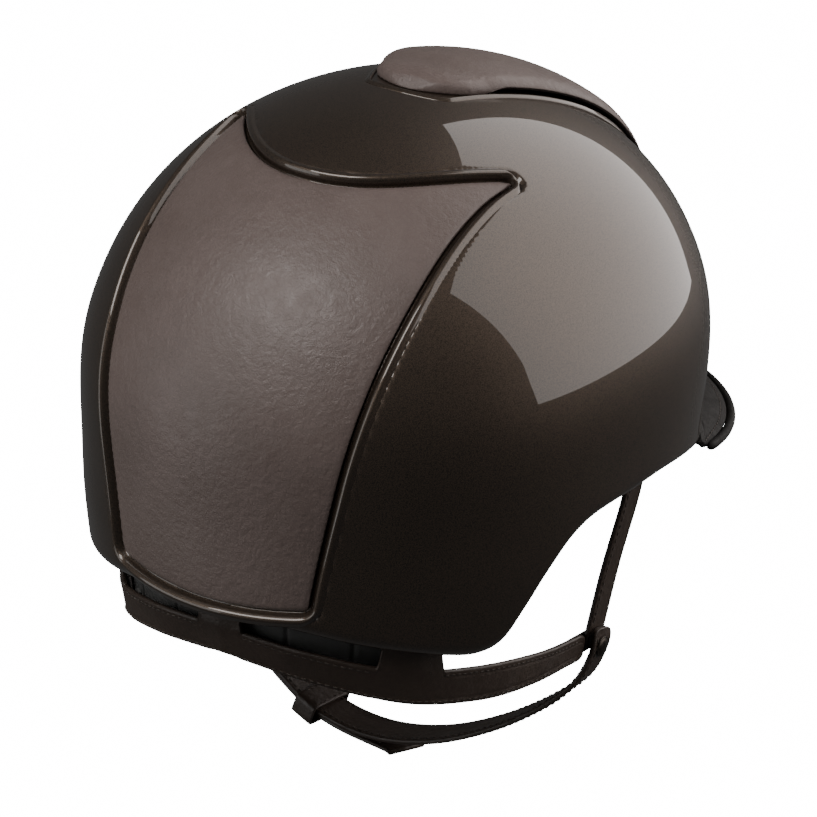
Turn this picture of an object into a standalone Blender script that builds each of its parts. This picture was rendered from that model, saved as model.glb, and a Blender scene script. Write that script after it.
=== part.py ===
"""Riding helmet with leather inserts: glossy outer shell, recessed rear leather
panel in a raised glossy frame, leather centre insert over a crown air gap,
peak, foam liner, comfort pads and a leather retention harness.

Own frame: metres, +Z up, the wearer faces -Y, the wearer's right is -X.
The origin is inside the head cavity, on the mid-plane, at the level of the
widest part of the shell."""
import bpy, bmesh, math
from mathutils import Vector, Matrix

MM = 0.001
# ------------------------------------------------------------------ driving dimensions (mm)
HALF_W = 112.0            # shell half width
HALF_L = 137.0            # shell half length
CROWN = 108.5             # crown height over the origin
SKIRT = 220.0             # lower half: nearly upright walls
SHAPE = (-0.05, -0.028, -0.007, 0.104, 0.052, 0.078)   # fore-aft shift and fullness
SHELL_T = 4.2             # moulded shell wall
EPS_OUT, EPS_IN = -5.3, -19.5       # foam liner, measured inward from the shell surface
PAD_OUT, PAD_IN = -21.2, -27.8      # comfort pads
RIM_KEYS = ((0, -57.5), (10, -58.5), (19, -61), (28, -65), (37, -69), (46, -73), (52, -74.5), (57, -71),
            (61, -60), (66, -46), (72, -34), (79, -28), (92, -26.5), (104, -27.5), (118, -33), (133, -42),
            (150, -47), (180, -48))
TUCK = 8.0                # radius of the rolled rim
# rear leather panel, in degrees: pitch about the ear-to-ear axis (0 = straight back,
# 90 = crown) and lateral angle from the mid-plane
PANEL_SIDE = ((-22.6, 18.6), (-10, 22.0), (0, 24.2), (20, 27.5), (40, 30.2), (60, 31.6), (82, 32.8))
PANEL_DIP, PANEL_DIP_K, PANEL_DIP_P = 57.6, 24.4, 2.2
FRAME_W = 4.8             # width of the raised frame around the panel
RECESS = 3.0              # depth of the recess in the shell
PANEL_T = 1.4
# crown insert: pitch and half width in degrees of lateral angle
INSERT_SIDE = ((96.5, 7.5), (100, 10.0), (106, 12.6), (114, 15.2), (124, 17.2), (138, 18.0), (152, 17.0), (164, 15.0))
INSERT_H = 7.0
# harness
J = (82.0, -27.0, -110.0)          # strap junction at each ear (x mirrored)
STRAP_T = 2.2
BAND_H = 15.0
CHIN_W = 17.0
SIDE_W = 13.0
GAP = 0.3

scene = bpy.context.scene
for o in list(bpy.data.objects):
    bpy.data.objects.remove(o, do_unlink=True)
parts = bpy.data.collections.new("riding_helmet"); scene.collection.children.link(parts)
cutters = bpy.data.collections.new("cutters"); scene.collection.children.link(cutters)

_mats = {}
def material(name, rgb, rough, metal=0.0, coat=0.0):
    m = bpy.data.materials.new(name); m.use_nodes = True
    b = m.node_tree.nodes["Principled BSDF"]
    b.inputs["Base Color"].default_value = (*rgb, 1); b.inputs["Roughness"].default_value = rough
    b.inputs["Metallic"].default_value = metal; b.inputs["Coat Weight"].default_value = coat
    m.diffuse_color = (*rgb, 1)
    return m
FINISH = {
    "gloss": ((0.022, 0.019, 0.015), 0.18, 0.3, 1.0), "panel": ((0.13, 0.105, 0.095), 0.6, 0, 0),
    "strap": ((0.035, 0.027, 0.021), 0.5, 0, 0), "foam": ((0.02, 0.02, 0.022), 0.9, 0, 0),
    "fabric": ((0.018, 0.018, 0.024), 0.9, 0, 0), "plastic": ((0.014, 0.014, 0.014), 0.4, 0, 0),
    "metal": ((0.12, 0.1, 0.09), 0.3, 1.0, 0), "rubber": ((0.012, 0.012, 0.012), 0.6, 0, 0)}

def add(name, bm, finish, smooth=40, coll=None):
    """Turn a bmesh (mm) into a named object (m) with its own material."""
    bmesh.ops.remove_doubles(bm, verts=bm.verts, dist=1e-4)
    bmesh.ops.scale(bm, vec=(MM, MM, MM), verts=bm.verts)
    bmesh.ops.recalc_face_normals(bm, faces=bm.faces)
    me = bpy.data.meshes.new(name); bm.to_mesh(me); bm.free()
    me.shade_smooth(); me.set_sharp_from_angle(angle=math.radians(smooth))
    ob = bpy.data.objects.new(name, me); (coll or parts).objects.link(ob)
    rgb, r, m, c = FINISH[finish]
    me.materials.append(material(name + "_mat", rgb, r, m, c))
    if coll is cutters:
        ob.hide_render = True; ob.display_type = "WIRE"
    return ob

# ------------------------------------------------------------------ the shell surface
def sstep(x):
    x = max(0.0, min(1.0, x)); return x * x * (3 - 2 * x)
def keys(table, x):
    """Smooth interpolation through a short table of (x, value)."""
    if x <= table[0][0]: return table[0][1]
    if x >= table[-1][0]: return table[-1][1]
    n = len(table)
    for i in range(n - 1):
        if table[i][0] <= x <= table[i + 1][0]:
            x0, y0 = table[i]; x1, y1 = table[i + 1]
            def slope(k):
                if k == 0: return (table[1][1] - table[0][1]) / (table[1][0] - table[0][0])
                if k == n - 1: return (table[-1][1] - table[-2][1]) / (table[-1][0] - table[-2][0])
                return (table[k + 1][1] - table[k - 1][1]) / (table[k + 1][0] - table[k - 1][0])
            h = x1 - x0; t = (x - x0) / h; m0, m1 = slope(i) * h, slope(i + 1) * h
            return (2*t**3 - 3*t*t + 1)*y0 + (t**3 - 2*t*t + t)*m0 + (3*t*t - 2*t**3)*y1 + (t**3 - t*t)*m1
def radial(d):
    x, y, z = d
    w = sstep((z + 0.35) / 0.7); ic = (1 - w) / SKIRT**2 + w / CROWN**2
    r = 1 / math.sqrt((x / HALF_W)**2 + (y / HALF_L)**2 + z * z * ic)
    a, b, c, e, f, g = SHAPE
    return r * (1 + a*y + b*y**3 + c*y*z + e*x*x*z*z + f*y*y*z*z + g*x*x*y*y)
def at(d, off=0.0):
    d = Vector(d).normalized(); return d * (radial(d) + off)
def polar(phi, theta):
    """Direction: phi 0 is straight back and grows to the wearer's right, theta from the crown."""
    p, t = math.radians(phi), math.radians(theta)
    return Vector((-math.sin(t) * math.sin(p), math.sin(t) * math.cos(p), math.cos(t)))
def chart(psi, lam):
    p, l = math.radians(psi), math.radians(lam)
    return Vector((-math.sin(l), math.cos(l) * math.cos(p), math.cos(l) * math.sin(p)))
def unchart(v):
    d = v.normalized(); return math.degrees(math.atan2(d.z, d.y)), math.degrees(math.asin(-d.x))
def theta_for(phi, z, off):
    """Polar angle where the surface offset by off stands at height z."""
    lo, hi = 5.0, 150.0
    for _ in range(40):
        mid = (lo + hi) / 2; d = polar(phi, mid)
        if (radial(d) + off) * d.z > z: lo = mid
        else: hi = mid
    return lo
def rim_z(phi):
    a = abs((phi + 180) % 360 - 180); return keys(RIM_KEYS, a)
def theta_at(phi, z):
    lo, hi = 5.0, 150.0
    for _ in range(40):
        mid = (lo + hi) / 2; d = polar(phi, mid)
        if radial(d) * d.z > z: lo = mid
        else: hi = mid
    return lo

def cap_solid(name, off_out, off_in, low, finish, nphi=60, nring=12, tuck=0.0, top=0.0):
    """Closed dome between two offsets of the shell surface, from the crown to height low(phi).
    With top > 0 it's a ring whose upper edge is at that polar angle."""
    bm = bmesh.new(); grids = []
    for off in (off_out, off_in):
        rows = []
        for i in range(nphi):
            phi = 360 * i / nphi; th = theta_at(phi, low(phi)); t0 = top(phi) if callable(top) else top
            col = []
            for k in range(nring + 1):
                f = k / nring; f = f if tuck == 0 else 1 - (1 - f)**1.35
                if top == 0 and k == 0: continue
                t = t0 + (th - t0) * f; d = polar(phi, t); o = off
                if tuck:
                    s = math.radians(th - t) * radial(d); T = tuck if off == off_out else tuck - (off_out - off_in) * 0.5
                    if s < T: o = off - (T - math.sqrt(max(0.0, T*T - (T - s)**2)))
                col.append(bm.verts.new(at(d, o)))
            rows.append(col)
        grids.append(rows)
        n = len(rows[0])
        for i in range(nphi):
            a, b = rows[i], rows[(i + 1) % nphi]
            for k in range(n - 1): bm.faces.new((a[k], b[k], b[k + 1], a[k + 1]))
        if top == 0:
            pole = bm.verts.new(at((0, 0, 1), off))
            for i in range(nphi): bm.faces.new((pole, rows[(i + 1) % nphi][0], rows[i][0]))
    o, n = grids
    for i in range(nphi):
        j = (i + 1) % nphi
        bm.faces.new((o[i][-1], o[j][-1], n[j][-1], n[i][-1]))
        if top != 0: bm.faces.new((o[i][0], n[i][0], n[j][0], o[j][0]))
    return add(name, bm, finish)

# ------------------------------------------------------------------ patches on the surface
def offset_loop(loop, delta):
    """Move a closed loop of chart points outward along the surface by delta mm."""
    P = [at(chart(*q)) for q in loop]; c = sum(P, Vector()) / len(P); out = []
    n = len(P)
    for i in range(n):
        a = (P[i] - P[i - 1]).normalized(); b = (P[(i + 1) % n] - P[i]).normalized()
        up = P[i].normalized(); na, nb = a.cross(up), b.cross(up); m = (na + nb).normalized()
        if m.dot(P[i] - c) < 0 and False: m = -m
        k = 1 / max(0.45, m.dot(na)); out.append(P[i] + m * delta * k)
    return out
def coons(loop, n, m, u, v):
    """loop runs top 0..n, right n..n+m, bottom n+m..2n+m, left back to 0."""
    T = loop[u]; R = loop[n + v]; B = loop[2*n + m - u]; L = loop[(2*n + 2*m - v) % (2*n + 2*m)]
    s, t = u / n, v / m
    c00, c10, c11, c01 = loop[0], loop[n], loop[n + m], loop[2*n + m]
    return tuple((1-t)*T[k] + t*B[k] + (1-s)*L[k] + s*R[k] - ((1-s)*(1-t)*c00[k] + s*(1-t)*c10[k] + s*t*c11[k] + (1-s)*t*c01[k]) for k in (0, 1))
def patch_solid(name, loop, n, m, lo, hi, finish, coll=None):
    """Solid between two offsets inside a four-sided loop; lo and hi take (u, v) in 0..1."""
    bm = bmesh.new(); g = []
    for f in (lo, hi):
        g.append([[bm.verts.new(at(chart(*coons(loop, n, m, u, v)), f(u / n, v / m))) for v in range(m + 1)] for u in range(n + 1)])
        for u in range(n):
            for v in range(m):
                bm.faces.new((g[-1][u][v], g[-1][u+1][v], g[-1][u+1][v+1], g[-1][u][v+1]))
    idx = [(u, 0) for u in range(n)] + [(n, v) for v in range(m)] + [(n - u, m) for u in range(n)] + [(0, m - v) for v in range(m)]
    for k in range(len(idx)):
        a, b = idx[k], idx[(k + 1) % len(idx)]
        bm.faces.new((g[0][a[0]][a[1]], g[0][b[0]][b[1]], g[1][b[0]][b[1]], g[1][a[0]][a[1]]))
    return add(name, bm, finish, coll=coll)
PN, PM = 12, 14
def panel_loop():
    dip = lambda l: PANEL_DIP + PANEL_DIP_K * (abs(l) / 32.8)**PANEL_DIP_P
    bot = lambda l: -22.2 - 0.4 * (l / 18.6)**2
    tip = 32.8; lp = []
    for u in range(PN): l = -tip + 2 * tip * u / PN; lp.append((dip(l), l))
    for v in range(PM): p = 82 + (-22.6 - 82) * v / PM; lp.append((p, keys(PANEL_SIDE, p)))
    for u in range(PN): l = 18.6 - 37.2 * u / PN; lp.append((bot(l), l))
    for v in range(PM): p = -22.6 + (82 + 22.6) * v / PM; lp.append((p, -keys(PANEL_SIDE, p)))
    return lp
IN_N, IN_M = 8, 11
def insert_loop(w=1.0, p0=96.5, p1=164.0):
    lp = []; k0, k1 = keys(INSERT_SIDE, p0) * w, keys(INSERT_SIDE, p1) * w
    for u in range(IN_N): l = -k0 + 2 * k0 * u / IN_N; lp.append((p0 - 1.2 * (1 - (l / k0)**2), l))
    for v in range(IN_M): p = p0 + (p1 - p0) * v / IN_M; lp.append((p, keys(INSERT_SIDE, p) * w))
    for u in range(IN_N): l = k1 - 2 * k1 * u / IN_N; lp.append((p1, l))
    for v in range(IN_M): p = p1 + (p0 - p1) * v / IN_M; lp.append((p, -keys(INSERT_SIDE, p) * w))
    return lp

# ------------------------------------------------------------------ shell, recess, panel and frame
shell = cap_solid("outer_shell", 0.0, -SHELL_T, rim_z, "gloss", nphi=48, nring=12, tuck=TUCK)
loop0 = panel_loop()
sgn = 1.0
if (offset_loop(loop0, 1.0)[PN // 2] - at(chart(*loop0[PN // 2]))).z < 0: sgn = -1.0
grow = lambda d: [unchart(p) for p in offset_loop(loop0, d * sgn)]
cut = patch_solid("recess_cutter", grow(FRAME_W + 0.5 + GAP), PN, PM, lambda u, v: -RECESS, lambda u, v: 9.0, "gloss", coll=cutters)
b = shell.modifiers.new("recess", "BOOLEAN"); b.operation = "DIFFERENCE"; b.object = cut; b.solver = "EXACT"
panel = patch_solid("rear_panel", loop0, PN, PM, lambda u, v: -RECESS + 0.55, lambda u, v: -RECESS + 0.55 + PANEL_T, "panel")

def ring_on_surface(name, loop, section, finish):
    """Sweep a section of (outward distance, height) round a loop on the shell."""
    bm = bmesh.new(); rows = []
    for d, h in section:
        rows.append([bm.verts.new(at(p.normalized(), h)) for p in offset_loop(loop, d * sgn)])
    n, k = len(loop), len(section)
    for j in range(k):
        for i in range(n):
            a, b2 = rows[j], rows[(j + 1) % k]
            bm.faces.new((a[i], a[(i + 1) % n], b2[(i + 1) % n], b2[i]))
    return add(name, bm, finish, smooth=50)
frame_ring = ring_on_surface("rear_panel_frame", loop0,
    ((0.5, -RECESS + 0.55), (0.5, -1.8), (1.9, -1.2), (2.5, 0.4), (3.4, 1.0), (4.4, 0.8), (0.5 + FRAME_W, 0.1), (0.5 + FRAME_W, -RECESS + 0.55)), "gloss")

# ------------------------------------------------------------------ crown insert on its carrier
def ins_edge(u): return abs(2 * u - 1)
def insert_low(u, v): return 0.4 + 2.7 * sstep((v - 0.07) / 0.08)
def insert_high(u, v):
    side = 1 - 0.62 * ins_edge(u)**3.0; nose = min(1.0, 0.45 + v / 0.10); tail = min(1.0, 0.5 + (1 - v) / 0.2)
    return max(insert_low(u, v) + 1.6, 0.4 + INSERT_H * side * nose * tail)
insert = patch_solid("crown_insert", insert_loop(), IN_N, IN_M, insert_low, insert_high, "panel")
carrier = patch_solid("crown_insert_carrier", insert_loop(0.66, 108.5, 160.0), IN_N, IN_M, lambda u, v: GAP + 0.1, lambda u, v: 2.7, "plastic")

# ------------------------------------------------------------------ foam liner and comfort pads
cap_solid("foam_liner", EPS_OUT, EPS_IN, lambda p: rim_z(p) + 13.5, "foam", nphi=40, nring=9)
cap_solid("liner_crown_pad", PAD_OUT, PAD_IN, lambda p: 66.0, "fabric", nphi=32, nring=4)
def ring_low(p): return rim_z(p) + 2.0 - 4.5 * sstep((70 - abs((p + 180) % 360 - 180)) / 25)
cap_solid("liner_headband", PAD_OUT, PAD_IN - 0.5, ring_low, "fabric", nphi=40, nring=4,
          top=lambda p: theta_at(p, 12.0 - 14 * sstep((abs((p + 180) % 360 - 180) - 60) / 90)))
# four webs join the crown pad to the headband
def sector_pad(name, p0, p1, z0, z1, o, i, finish, n=4, m=5):
    bm = bmesh.new(); g = []
    for off in (o, i):
        rows = []
        for a in range(n + 1):
            phi = p0 + (p1 - p0) * a / n; ta, tb = theta_at(phi, z1), theta_at(phi, z0)
            rows.append([bm.verts.new(at(polar(phi, ta + (tb - ta) * k / m), off)) for k in range(m + 1)])
        g.append(rows)
        for a in range(n):
            for k in range(m): bm.faces.new((rows[a][k], rows[a+1][k], rows[a+1][k+1], rows[a][k+1]))
    idx = [(a, 0) for a in range(n)] + [(n, k) for k in range(m)] + [(n - a, m) for a in range(n)] + [(0, m - k) for k in range(m)]
    for q in range(len(idx)):
        a, b3 = idx[q], idx[(q + 1) % len(idx)]
        bm.faces.new((g[0][a[0]][a[1]], g[0][b3[0]][b3[1]], g[1][b3[0]][b3[1]], g[1][a[0]][a[1]]))
    return add(name, bm, finish)
for nm, c, zl in (("liner_web_rear_right", 42, 15), ("liner_web_rear_left", -42, 15), ("liner_web_front_right", 132, 10), ("liner_web_front_left", -132, 10)):
    sector_pad(nm, c - 11, c + 11, zl, 64.5, PAD_OUT - 0.8, PAD_OUT - 5.4, "fabric")
sector_pad("brow_pad", 135, 225, -42, -14, PAD_IN - 0.9, PAD_IN - 4.4, "fabric", n=10, m=4)

# ------------------------------------------------------------------ rim binding
def binding():
    bm = bmesh.new(); rows = []; n = 48
    for d, dz in ((-9.6, 2.6), (-9.6, 7.2), (-11.8, 7.2), (-11.8, 2.6)):
        row = []
        for i in range(n):
            phi = 360 * i / n; row.append(bm.verts.new(at(polar(phi, theta_at(phi, rim_z(phi) + dz)), d)))
        rows.append(row)
    for j in range(4):
        for i in range(n):
            bm.faces.new((rows[j][i], rows[j][(i+1) % n], rows[(j+1) % 4][(i+1) % n], rows[(j+1) % 4][i]))
    return add("rim_binding", bm, "rubber")
binding()

# ------------------------------------------------------------------ peak
PEAK_W, PEAK_Y, PEAK_L, PEAK_T = 89.0, 94.0, 93.0, 3.4
def peak_out(b, grow=0.0):
    """Outer edge; b from -1 to 1 across the front."""
    a = math.radians(88 * b); x = -(PEAK_W + grow) * math.sin(a); y = -(PEAK_Y + (PEAK_L + grow) * math.cos(a))
    z = -47.5 - 0.13 * (-y - 95) + 6.0 * math.cos(a)**2
    return Vector((x, y, z))
def peak_in(b):
    phi = 180 - 44.5 * b; z = -40.5 - 3.0 * b * b
    return at(polar(phi, theta_at(phi, z)), 0.9)
def peak_pt(b, t):
    p, q = peak_in(b), peak_out(b); m = p.lerp(q, t); m.z += 2.2 * math.sin(math.pi * t) * (1 - b * b); return m
def peak():
    bm = bmesh.new(); n, m = 26, 5; g = []
    for dz in (0, -PEAK_T):
        g.append([[bm.verts.new(peak_pt(-1 + 2*i/n, k/m) + Vector((0, 0, dz))) for k in range(m + 1)] for i in range(n + 1)])
        for i in range(n):
            for k in range(m): bm.faces.new((g[-1][i][k], g[-1][i+1][k], g[-1][i+1][k+1], g[-1][i][k+1]))
    idx = [(a, 0) for a in range(n)] + [(n, k) for k in range(m)] + [(n - a, m) for a in range(n)] + [(0, m - k) for k in range(m)]
    for q in range(len(idx)):
        a, b4 = idx[q], idx[(q + 1) % len(idx)]
        bm.faces.new((g[0][a[0]][a[1]], g[0][b4[0]][b4[1]], g[1][b4[0]][b4[1]], g[1][a[0]][a[1]]))
    return add("peak", bm, "strap")
peak()
def tube(name, pts, r, finish, res=1, cyclic=False):
    """Curve object with a bevel and filled caps, turned into a welded mesh."""
    cu = bpy.data.curves.new(name, "CURVE"); cu.dimensions = "3D"; cu.bevel_depth = r * MM; cu.bevel_resolution = res; cu.use_fill_caps = True
    sp = cu.splines.new("POLY"); sp.points.add(len(pts) - 1)
    for q, p in zip(sp.points, pts): q.co = (*[c * MM for c in p], 1)
    sp.use_cyclic_u = cyclic
    ob = bpy.data.objects.new(name + "_curve", cu); scene.collection.objects.link(ob)
    bpy.context.view_layer.update()
    me = bpy.data.meshes.new_from_object(ob.evaluated_get(bpy.context.evaluated_depsgraph_get()))
    bm = bmesh.new(); bm.from_mesh(me); bpy.data.meshes.remove(me); bpy.data.objects.remove(ob)
    bmesh.ops.scale(bm, vec=(1000, 1000, 1000), verts=bm.verts)
    return add(name, bm, finish)
tube("peak_edge_trim", [peak_out(-0.985 + 1.97 * i / 36, 2.5) + Vector((0, 0, -PEAK_T / 2)) for i in range(37)], 1.95, "strap")

# ------------------------------------------------------------------ round and strap helpers
def basis(z, y=(0, 1, 0)):
    z = Vector(z).normalized(); y = Vector(y); y = (y - z * y.dot(z)).normalized(); x = y.cross(z)
    return Matrix((x, y, z)).transposed()
def cyl(bm, p, axis, r, h, seg=16, r2=None):
    M = Matrix.Translation(Vector(p)) @ basis(axis, (0, 1, 0.01) if abs(Vector(axis).normalized().y) < 0.9 else (1, 0, 0)).to_4x4()
    bmesh.ops.create_cone(bm, cap_ends=True, segments=seg, radius1=r, radius2=r if r2 is None else r2, depth=h, matrix=M)
def strip(bm, pts, widths, wdirs, thick, outs=None):
    """Flat strap: centre points, width, width direction and thickness; closed box section."""
    rows = []; n = len(pts)
    for i, p in enumerate(pts):
        p = Vector(p); t = (Vector(pts[min(i+1, n-1)]) - Vector(pts[max(i-1, 0)])).normalized()
        w = Vector(wdirs[i] if isinstance(wdirs, list) else wdirs); w = (w - t * w.dot(t)).normalized()
        nn = t.cross(w).normalized(); hw = (widths[i] if isinstance(widths, (list, tuple)) else widths) / 2
        rows.append([bm.verts.new(p + w * a * hw + nn * b5 * thick / 2) for a, b5 in ((-1, -1), (1, -1), (1, 1), (-1, 1))])
    for i in range(n - 1):
        for k in range(4): bm.faces.new((rows[i][k], rows[i][(k+1) % 4], rows[i+1][(k+1) % 4], rows[i+1][k]))
    bm.faces.new(rows[0]); bm.faces.new(rows[-1])
def spline(ctrl, n):
    """Catmull-Rom through the control points."""
    P = [Vector(c) for c in ctrl]; P = [P[0]*2 - P[1]] + P + [P[-1]*2 - P[-2]]; out = []
    segs = len(P) - 3
    for i in range(n + 1):
        f = i / n * segs; k = min(int(f), segs - 1); t = f - k; a, b6, c, d = P[k:k+4]
        out.append(0.5 * ((2*b6) + (c - a)*t + (2*a - 5*b6 + 4*c - d)*t*t + (3*b6 - a - 3*c + d)*t**3))
    return out

# screws under the peak corners and rivets that hold the harness inside the shell
for s, nm in ((1, "right"), (-1, "left")):
    bm = bmesh.new(); p = peak_pt(s * 0.72, 0.12); cyl(bm, p + Vector((0, 0, -PEAK_T - 2.2)), (0, 0, 1), 2.6, 1.4, 12)
    add("peak_screw_" + nm, bm, "metal")

# ------------------------------------------------------------------ nape band
BAND_CTRL = ((0, 109.5, -75), (-34, 103, -79), (-63, 84, -86.5), (-77, 52, -95), (-83, 18, -101.5), (-82.0, -19.6, -108.5))
half = spline(BAND_CTRL, 24)
full = [Vector((-p.x, p.y, p.z)) for p in reversed(half[1:])] + half
def band():
    bm = bmesh.new(); n = len(full)
    hw = [min(BAND_H, 11.0 + 4.0 * sstep((p.y + 10) / 60)) for p in full]
    lean = [(0, 0.35 * max(0, p.y) / 110, 1) for p in full]
    strip(bm, full, hw, [Vector(l) for l in lean], STRAP_T)
    return add("nape_band", bm, "strap")
band()
def band_top(phi):
    best = min(half, key=lambda p: abs(math.degrees(math.atan2(-p.x, p.y)) - abs(phi)))
    k = half.index(best); a = half[max(0, k - 1)]; b = half[min(len(half) - 1, k + 1)]
    az = lambda p: math.degrees(math.atan2(-p.x, p.y)); f = (abs(phi) - az(a)) / max(1e-6, az(b) - az(a))
    return a.z + (b.z - a.z) * f + BAND_H / 2 * 0.97 + 1.1
def tab(name, phi0, phi1):
    """Leather tab from the nape band up to the underside of the foam, inside the shell."""
    bm = bmesh.new(); g = []; n, m = 4, 3
    for off in (-12.7, -12.7 - STRAP_T):
        rows = []
        for a in range(n + 1):
            phi = phi0 + (phi1 - phi0) * a / n; z0 = band_top(phi); z1 = rim_z(phi) + 11.2
            rows.append([bm.verts.new(at(polar(phi, theta_for(phi, z0 + (z1 - z0) * k / m, off)), off)) for k in range(m + 1)])
        g.append(rows)
        for a in range(n):
            for k in range(m): bm.faces.new((rows[a][k], rows[a+1][k], rows[a+1][k+1], rows[a][k+1]))
    idx = [(a, 0) for a in range(n)] + [(n, k) for k in range(m)] + [(n - a, m) for a in range(n)] + [(0, m - k) for k in range(m)]
    for q in range(len(idx)):
        a, b8 = idx[q], idx[(q + 1) % len(idx)]
        bm.faces.new((g[0][a[0]][a[1]], g[0][b8[0]][b8[1]], g[1][b8[0]][b8[1]], g[1][a[0]][a[1]]))
    return add(name, bm, "strap")
tab("nape_tab_centre", -3, 3)
tab("nape_tab_right", 33, 42)
tab("nape_tab_left", -42, -33)

# ------------------------------------------------------------------ side straps, junctions, chin strap
for s, nm in ((-1, "right"), (1, "left")):
    bm = bmesh.new()
    pts = spline([(s*87, -50, -31), (s*86, -46, -52), (s*83.5, -37, -80), (s*82, -27, -112)], 10)
    strip(bm, pts, SIDE_W, (0, 1, 0), STRAP_T); add("side_strap_" + nm, bm, "strap")
    bm = bmesh.new()
    strip(bm, [(s*(82 - 2.3), -31 + 19*i/4, -110.2 + 2.2*i/4) for i in range(5)], 9.0, (0, 0, 1), 1.6)
    add("strap_junction_" + nm, bm, "strap")
for s, nm in ((-1, "right"), (1, "left")):
    bm = bmesh.new(); cyl(bm, (s*(82 + 6.3), -27, -110), (1, 0, 0), 4.2, 1.3, 16)
    add("junction_rivet_" + nm, bm, "metal")
    bm = bmesh.new(); cyl(bm, (s*(86.6 + 2.6), -49.0, -36), (1, 0, 0), 4.0, 1.2, 16)
    add("temple_rivet_" + nm, bm, "metal")

JR, JL = Vector((-J[0], J[1], J[2])), Vector((J[0], J[1], J[2]))
# long strap: from the right junction under the chin up to the buckle on the left
LONG = ((-85.7, -29.5, -103), (-85.7, -27, -112), (-81.2, -23.5, -124), (-70, -19, -136), (-50, -13.5, -150), (-25, -10, -162), (2, -9.5, -168.5), (28, -11, -167), (50, -14.5, -158), (64, -17.5, -148.5), (69.5, -19.5, -141.5))
lp = spline(LONG, 40)
lw = [SIDE_W + (CHIN_W - SIDE_W) * sstep((i - 2) / 10) - 3.0 * sstep((i - 34) / 6) for i in range(41)]
# the riveted tab turns only about the rivet; the strap below it also bends outward at FLEX
FLEX = 6
bm = bmesh.new(); strip(bm, lp[:FLEX] + [lp[FLEX - 1].lerp(lp[FLEX], 0.55)], lw[:FLEX + 1], (0, 1, 0), STRAP_T)
add("chin_strap_tab_right", bm, "strap")
bm = bmesh.new(); strip(bm, lp[FLEX:], lw[FLEX:], (0, 1, 0), STRAP_T)
add("chin_strap_long", bm, "strap")
# doubled tail: below the main strap, from the buckle back through the keeper
def shifted(i, d):
    p = lp[i]; t = (lp[min(i+1, 40)] - lp[max(i-1, 0)]).normalized(); w = Vector((0, 1, 0)); w = (w - t*w.dot(t)).normalized(); return p + t.cross(w) * d
down = 1 if shifted(26, 1).z < lp[26].z else -1
tp = [shifted(i, down * (STRAP_T + 0.45)) for i in range(23, 38)]
bm = bmesh.new(); strip(bm, tp, [9.0 if i == 0 else 14.0 for i in range(len(tp))], (0, 1, 0), STRAP_T)
add("chin_strap_tail", bm, "strap")
# keeper loop round both layers
def keeper():
    i = 29; c = (lp[i] + tp[i - 23]) / 2; t = (lp[i+1] - lp[i-1]).normalized(); w = Vector((0, 1, 0)); w = (w - t*w.dot(t)).normalized(); n = t.cross(w)
    bm = bmesh.new(); rows = []
    ho, hn = (CHIN_W/2 + 3.1, STRAP_T + 2.9); io, inn = (CHIN_W/2 + 1.3, STRAP_T + 1.2)
    for a in (-5.5, 5.5):
        for (x, y) in ((ho, hn), (io, inn)):
            rows.append([bm.verts.new(c + t*a + w*sx*x + n*sy*y) for sx, sy in ((-1,-1),(1,-1),(1,1),(-1,1))])
    A, B, C, D = rows
    for k in range(4):
        j = (k + 1) % 4
        for q in ((A[k], A[j], C[j], C[k]), (B[k], D[k], D[j], B[j]), (A[k], B[k], B[j], A[j]), (C[k], C[j], D[j], D[k])): bm.faces.new(q)
    return add("strap_keeper", bm, "strap")
keeper()
# short strap on the left, ending at the buckle socket
sh = spline([(85.7, -29.5, -103), (85.7, -27, -112), (84.6, -25.6, -117), (79.9, -24.2, -121.3)], 8)
bm = bmesh.new(); strip(bm, sh, 13.0, (0, 1, 0), STRAP_T); add("chin_strap_short", bm, "strap")
# quick-release buckle: axis points from the tongue up into the socket
BAX = Vector((0.36, -0.13, 0.925)).normalized(); BC = Vector((75.2, -22.2, -132.5)); BM = basis(BAX, (0, 1, 0))
def bx(bm, c, sz):
    """Box in the buckle's own axes: x = thickness, y = width, z = along the strap."""
    M = Matrix.Translation(BC) @ BM.to_4x4() @ Matrix.Translation(Vector(c)) @ Matrix.Diagonal((*sz, 1))
    bmesh.ops.create_cube(bm, size=1.0, matrix=M)
bm = bmesh.new(); bx(bm, (0, 0, 2.2), (7.4, 21.0, 15.0)); sock = add("buckle_socket", bm, "plastic")
bm = bmesh.new(); bx(bm, (0, 0, -1.0), (4.4, 15.6, 13.0)); sc = add("socket_cutter", bm, "plastic", coll=cutters)
m1 = sock.modifiers.new("mouth", "BOOLEAN"); m1.operation = "DIFFERENCE"; m1.object = sc; m1.solver = "EXACT"
m2 = sock.modifiers.new("edge", "BEVEL"); m2.width = 0.8 * MM; m2.segments = 1; m2.limit_method = "ANGLE"
bm = bmesh.new(); bx(bm, (0, 0, -7.6), (5.6, 20.0, 3.6)); tongue = add("buckle_tongue", bm, "plastic")
bm = bmesh.new(); bx(bm, (0, 0, -1.9), (2.8, 12.4, 8.6)); tg2 = add("tongue_blade", bm, "plastic", coll=cutters)
m3 = tongue.modifiers.new("blade", "BOOLEAN"); m3.operation = "UNION"; m3.object = tg2; m3.solver = "EXACT"
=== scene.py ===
import bpy, bmesh, math
import numpy as np
from mathutils import Vector, Matrix


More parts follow.
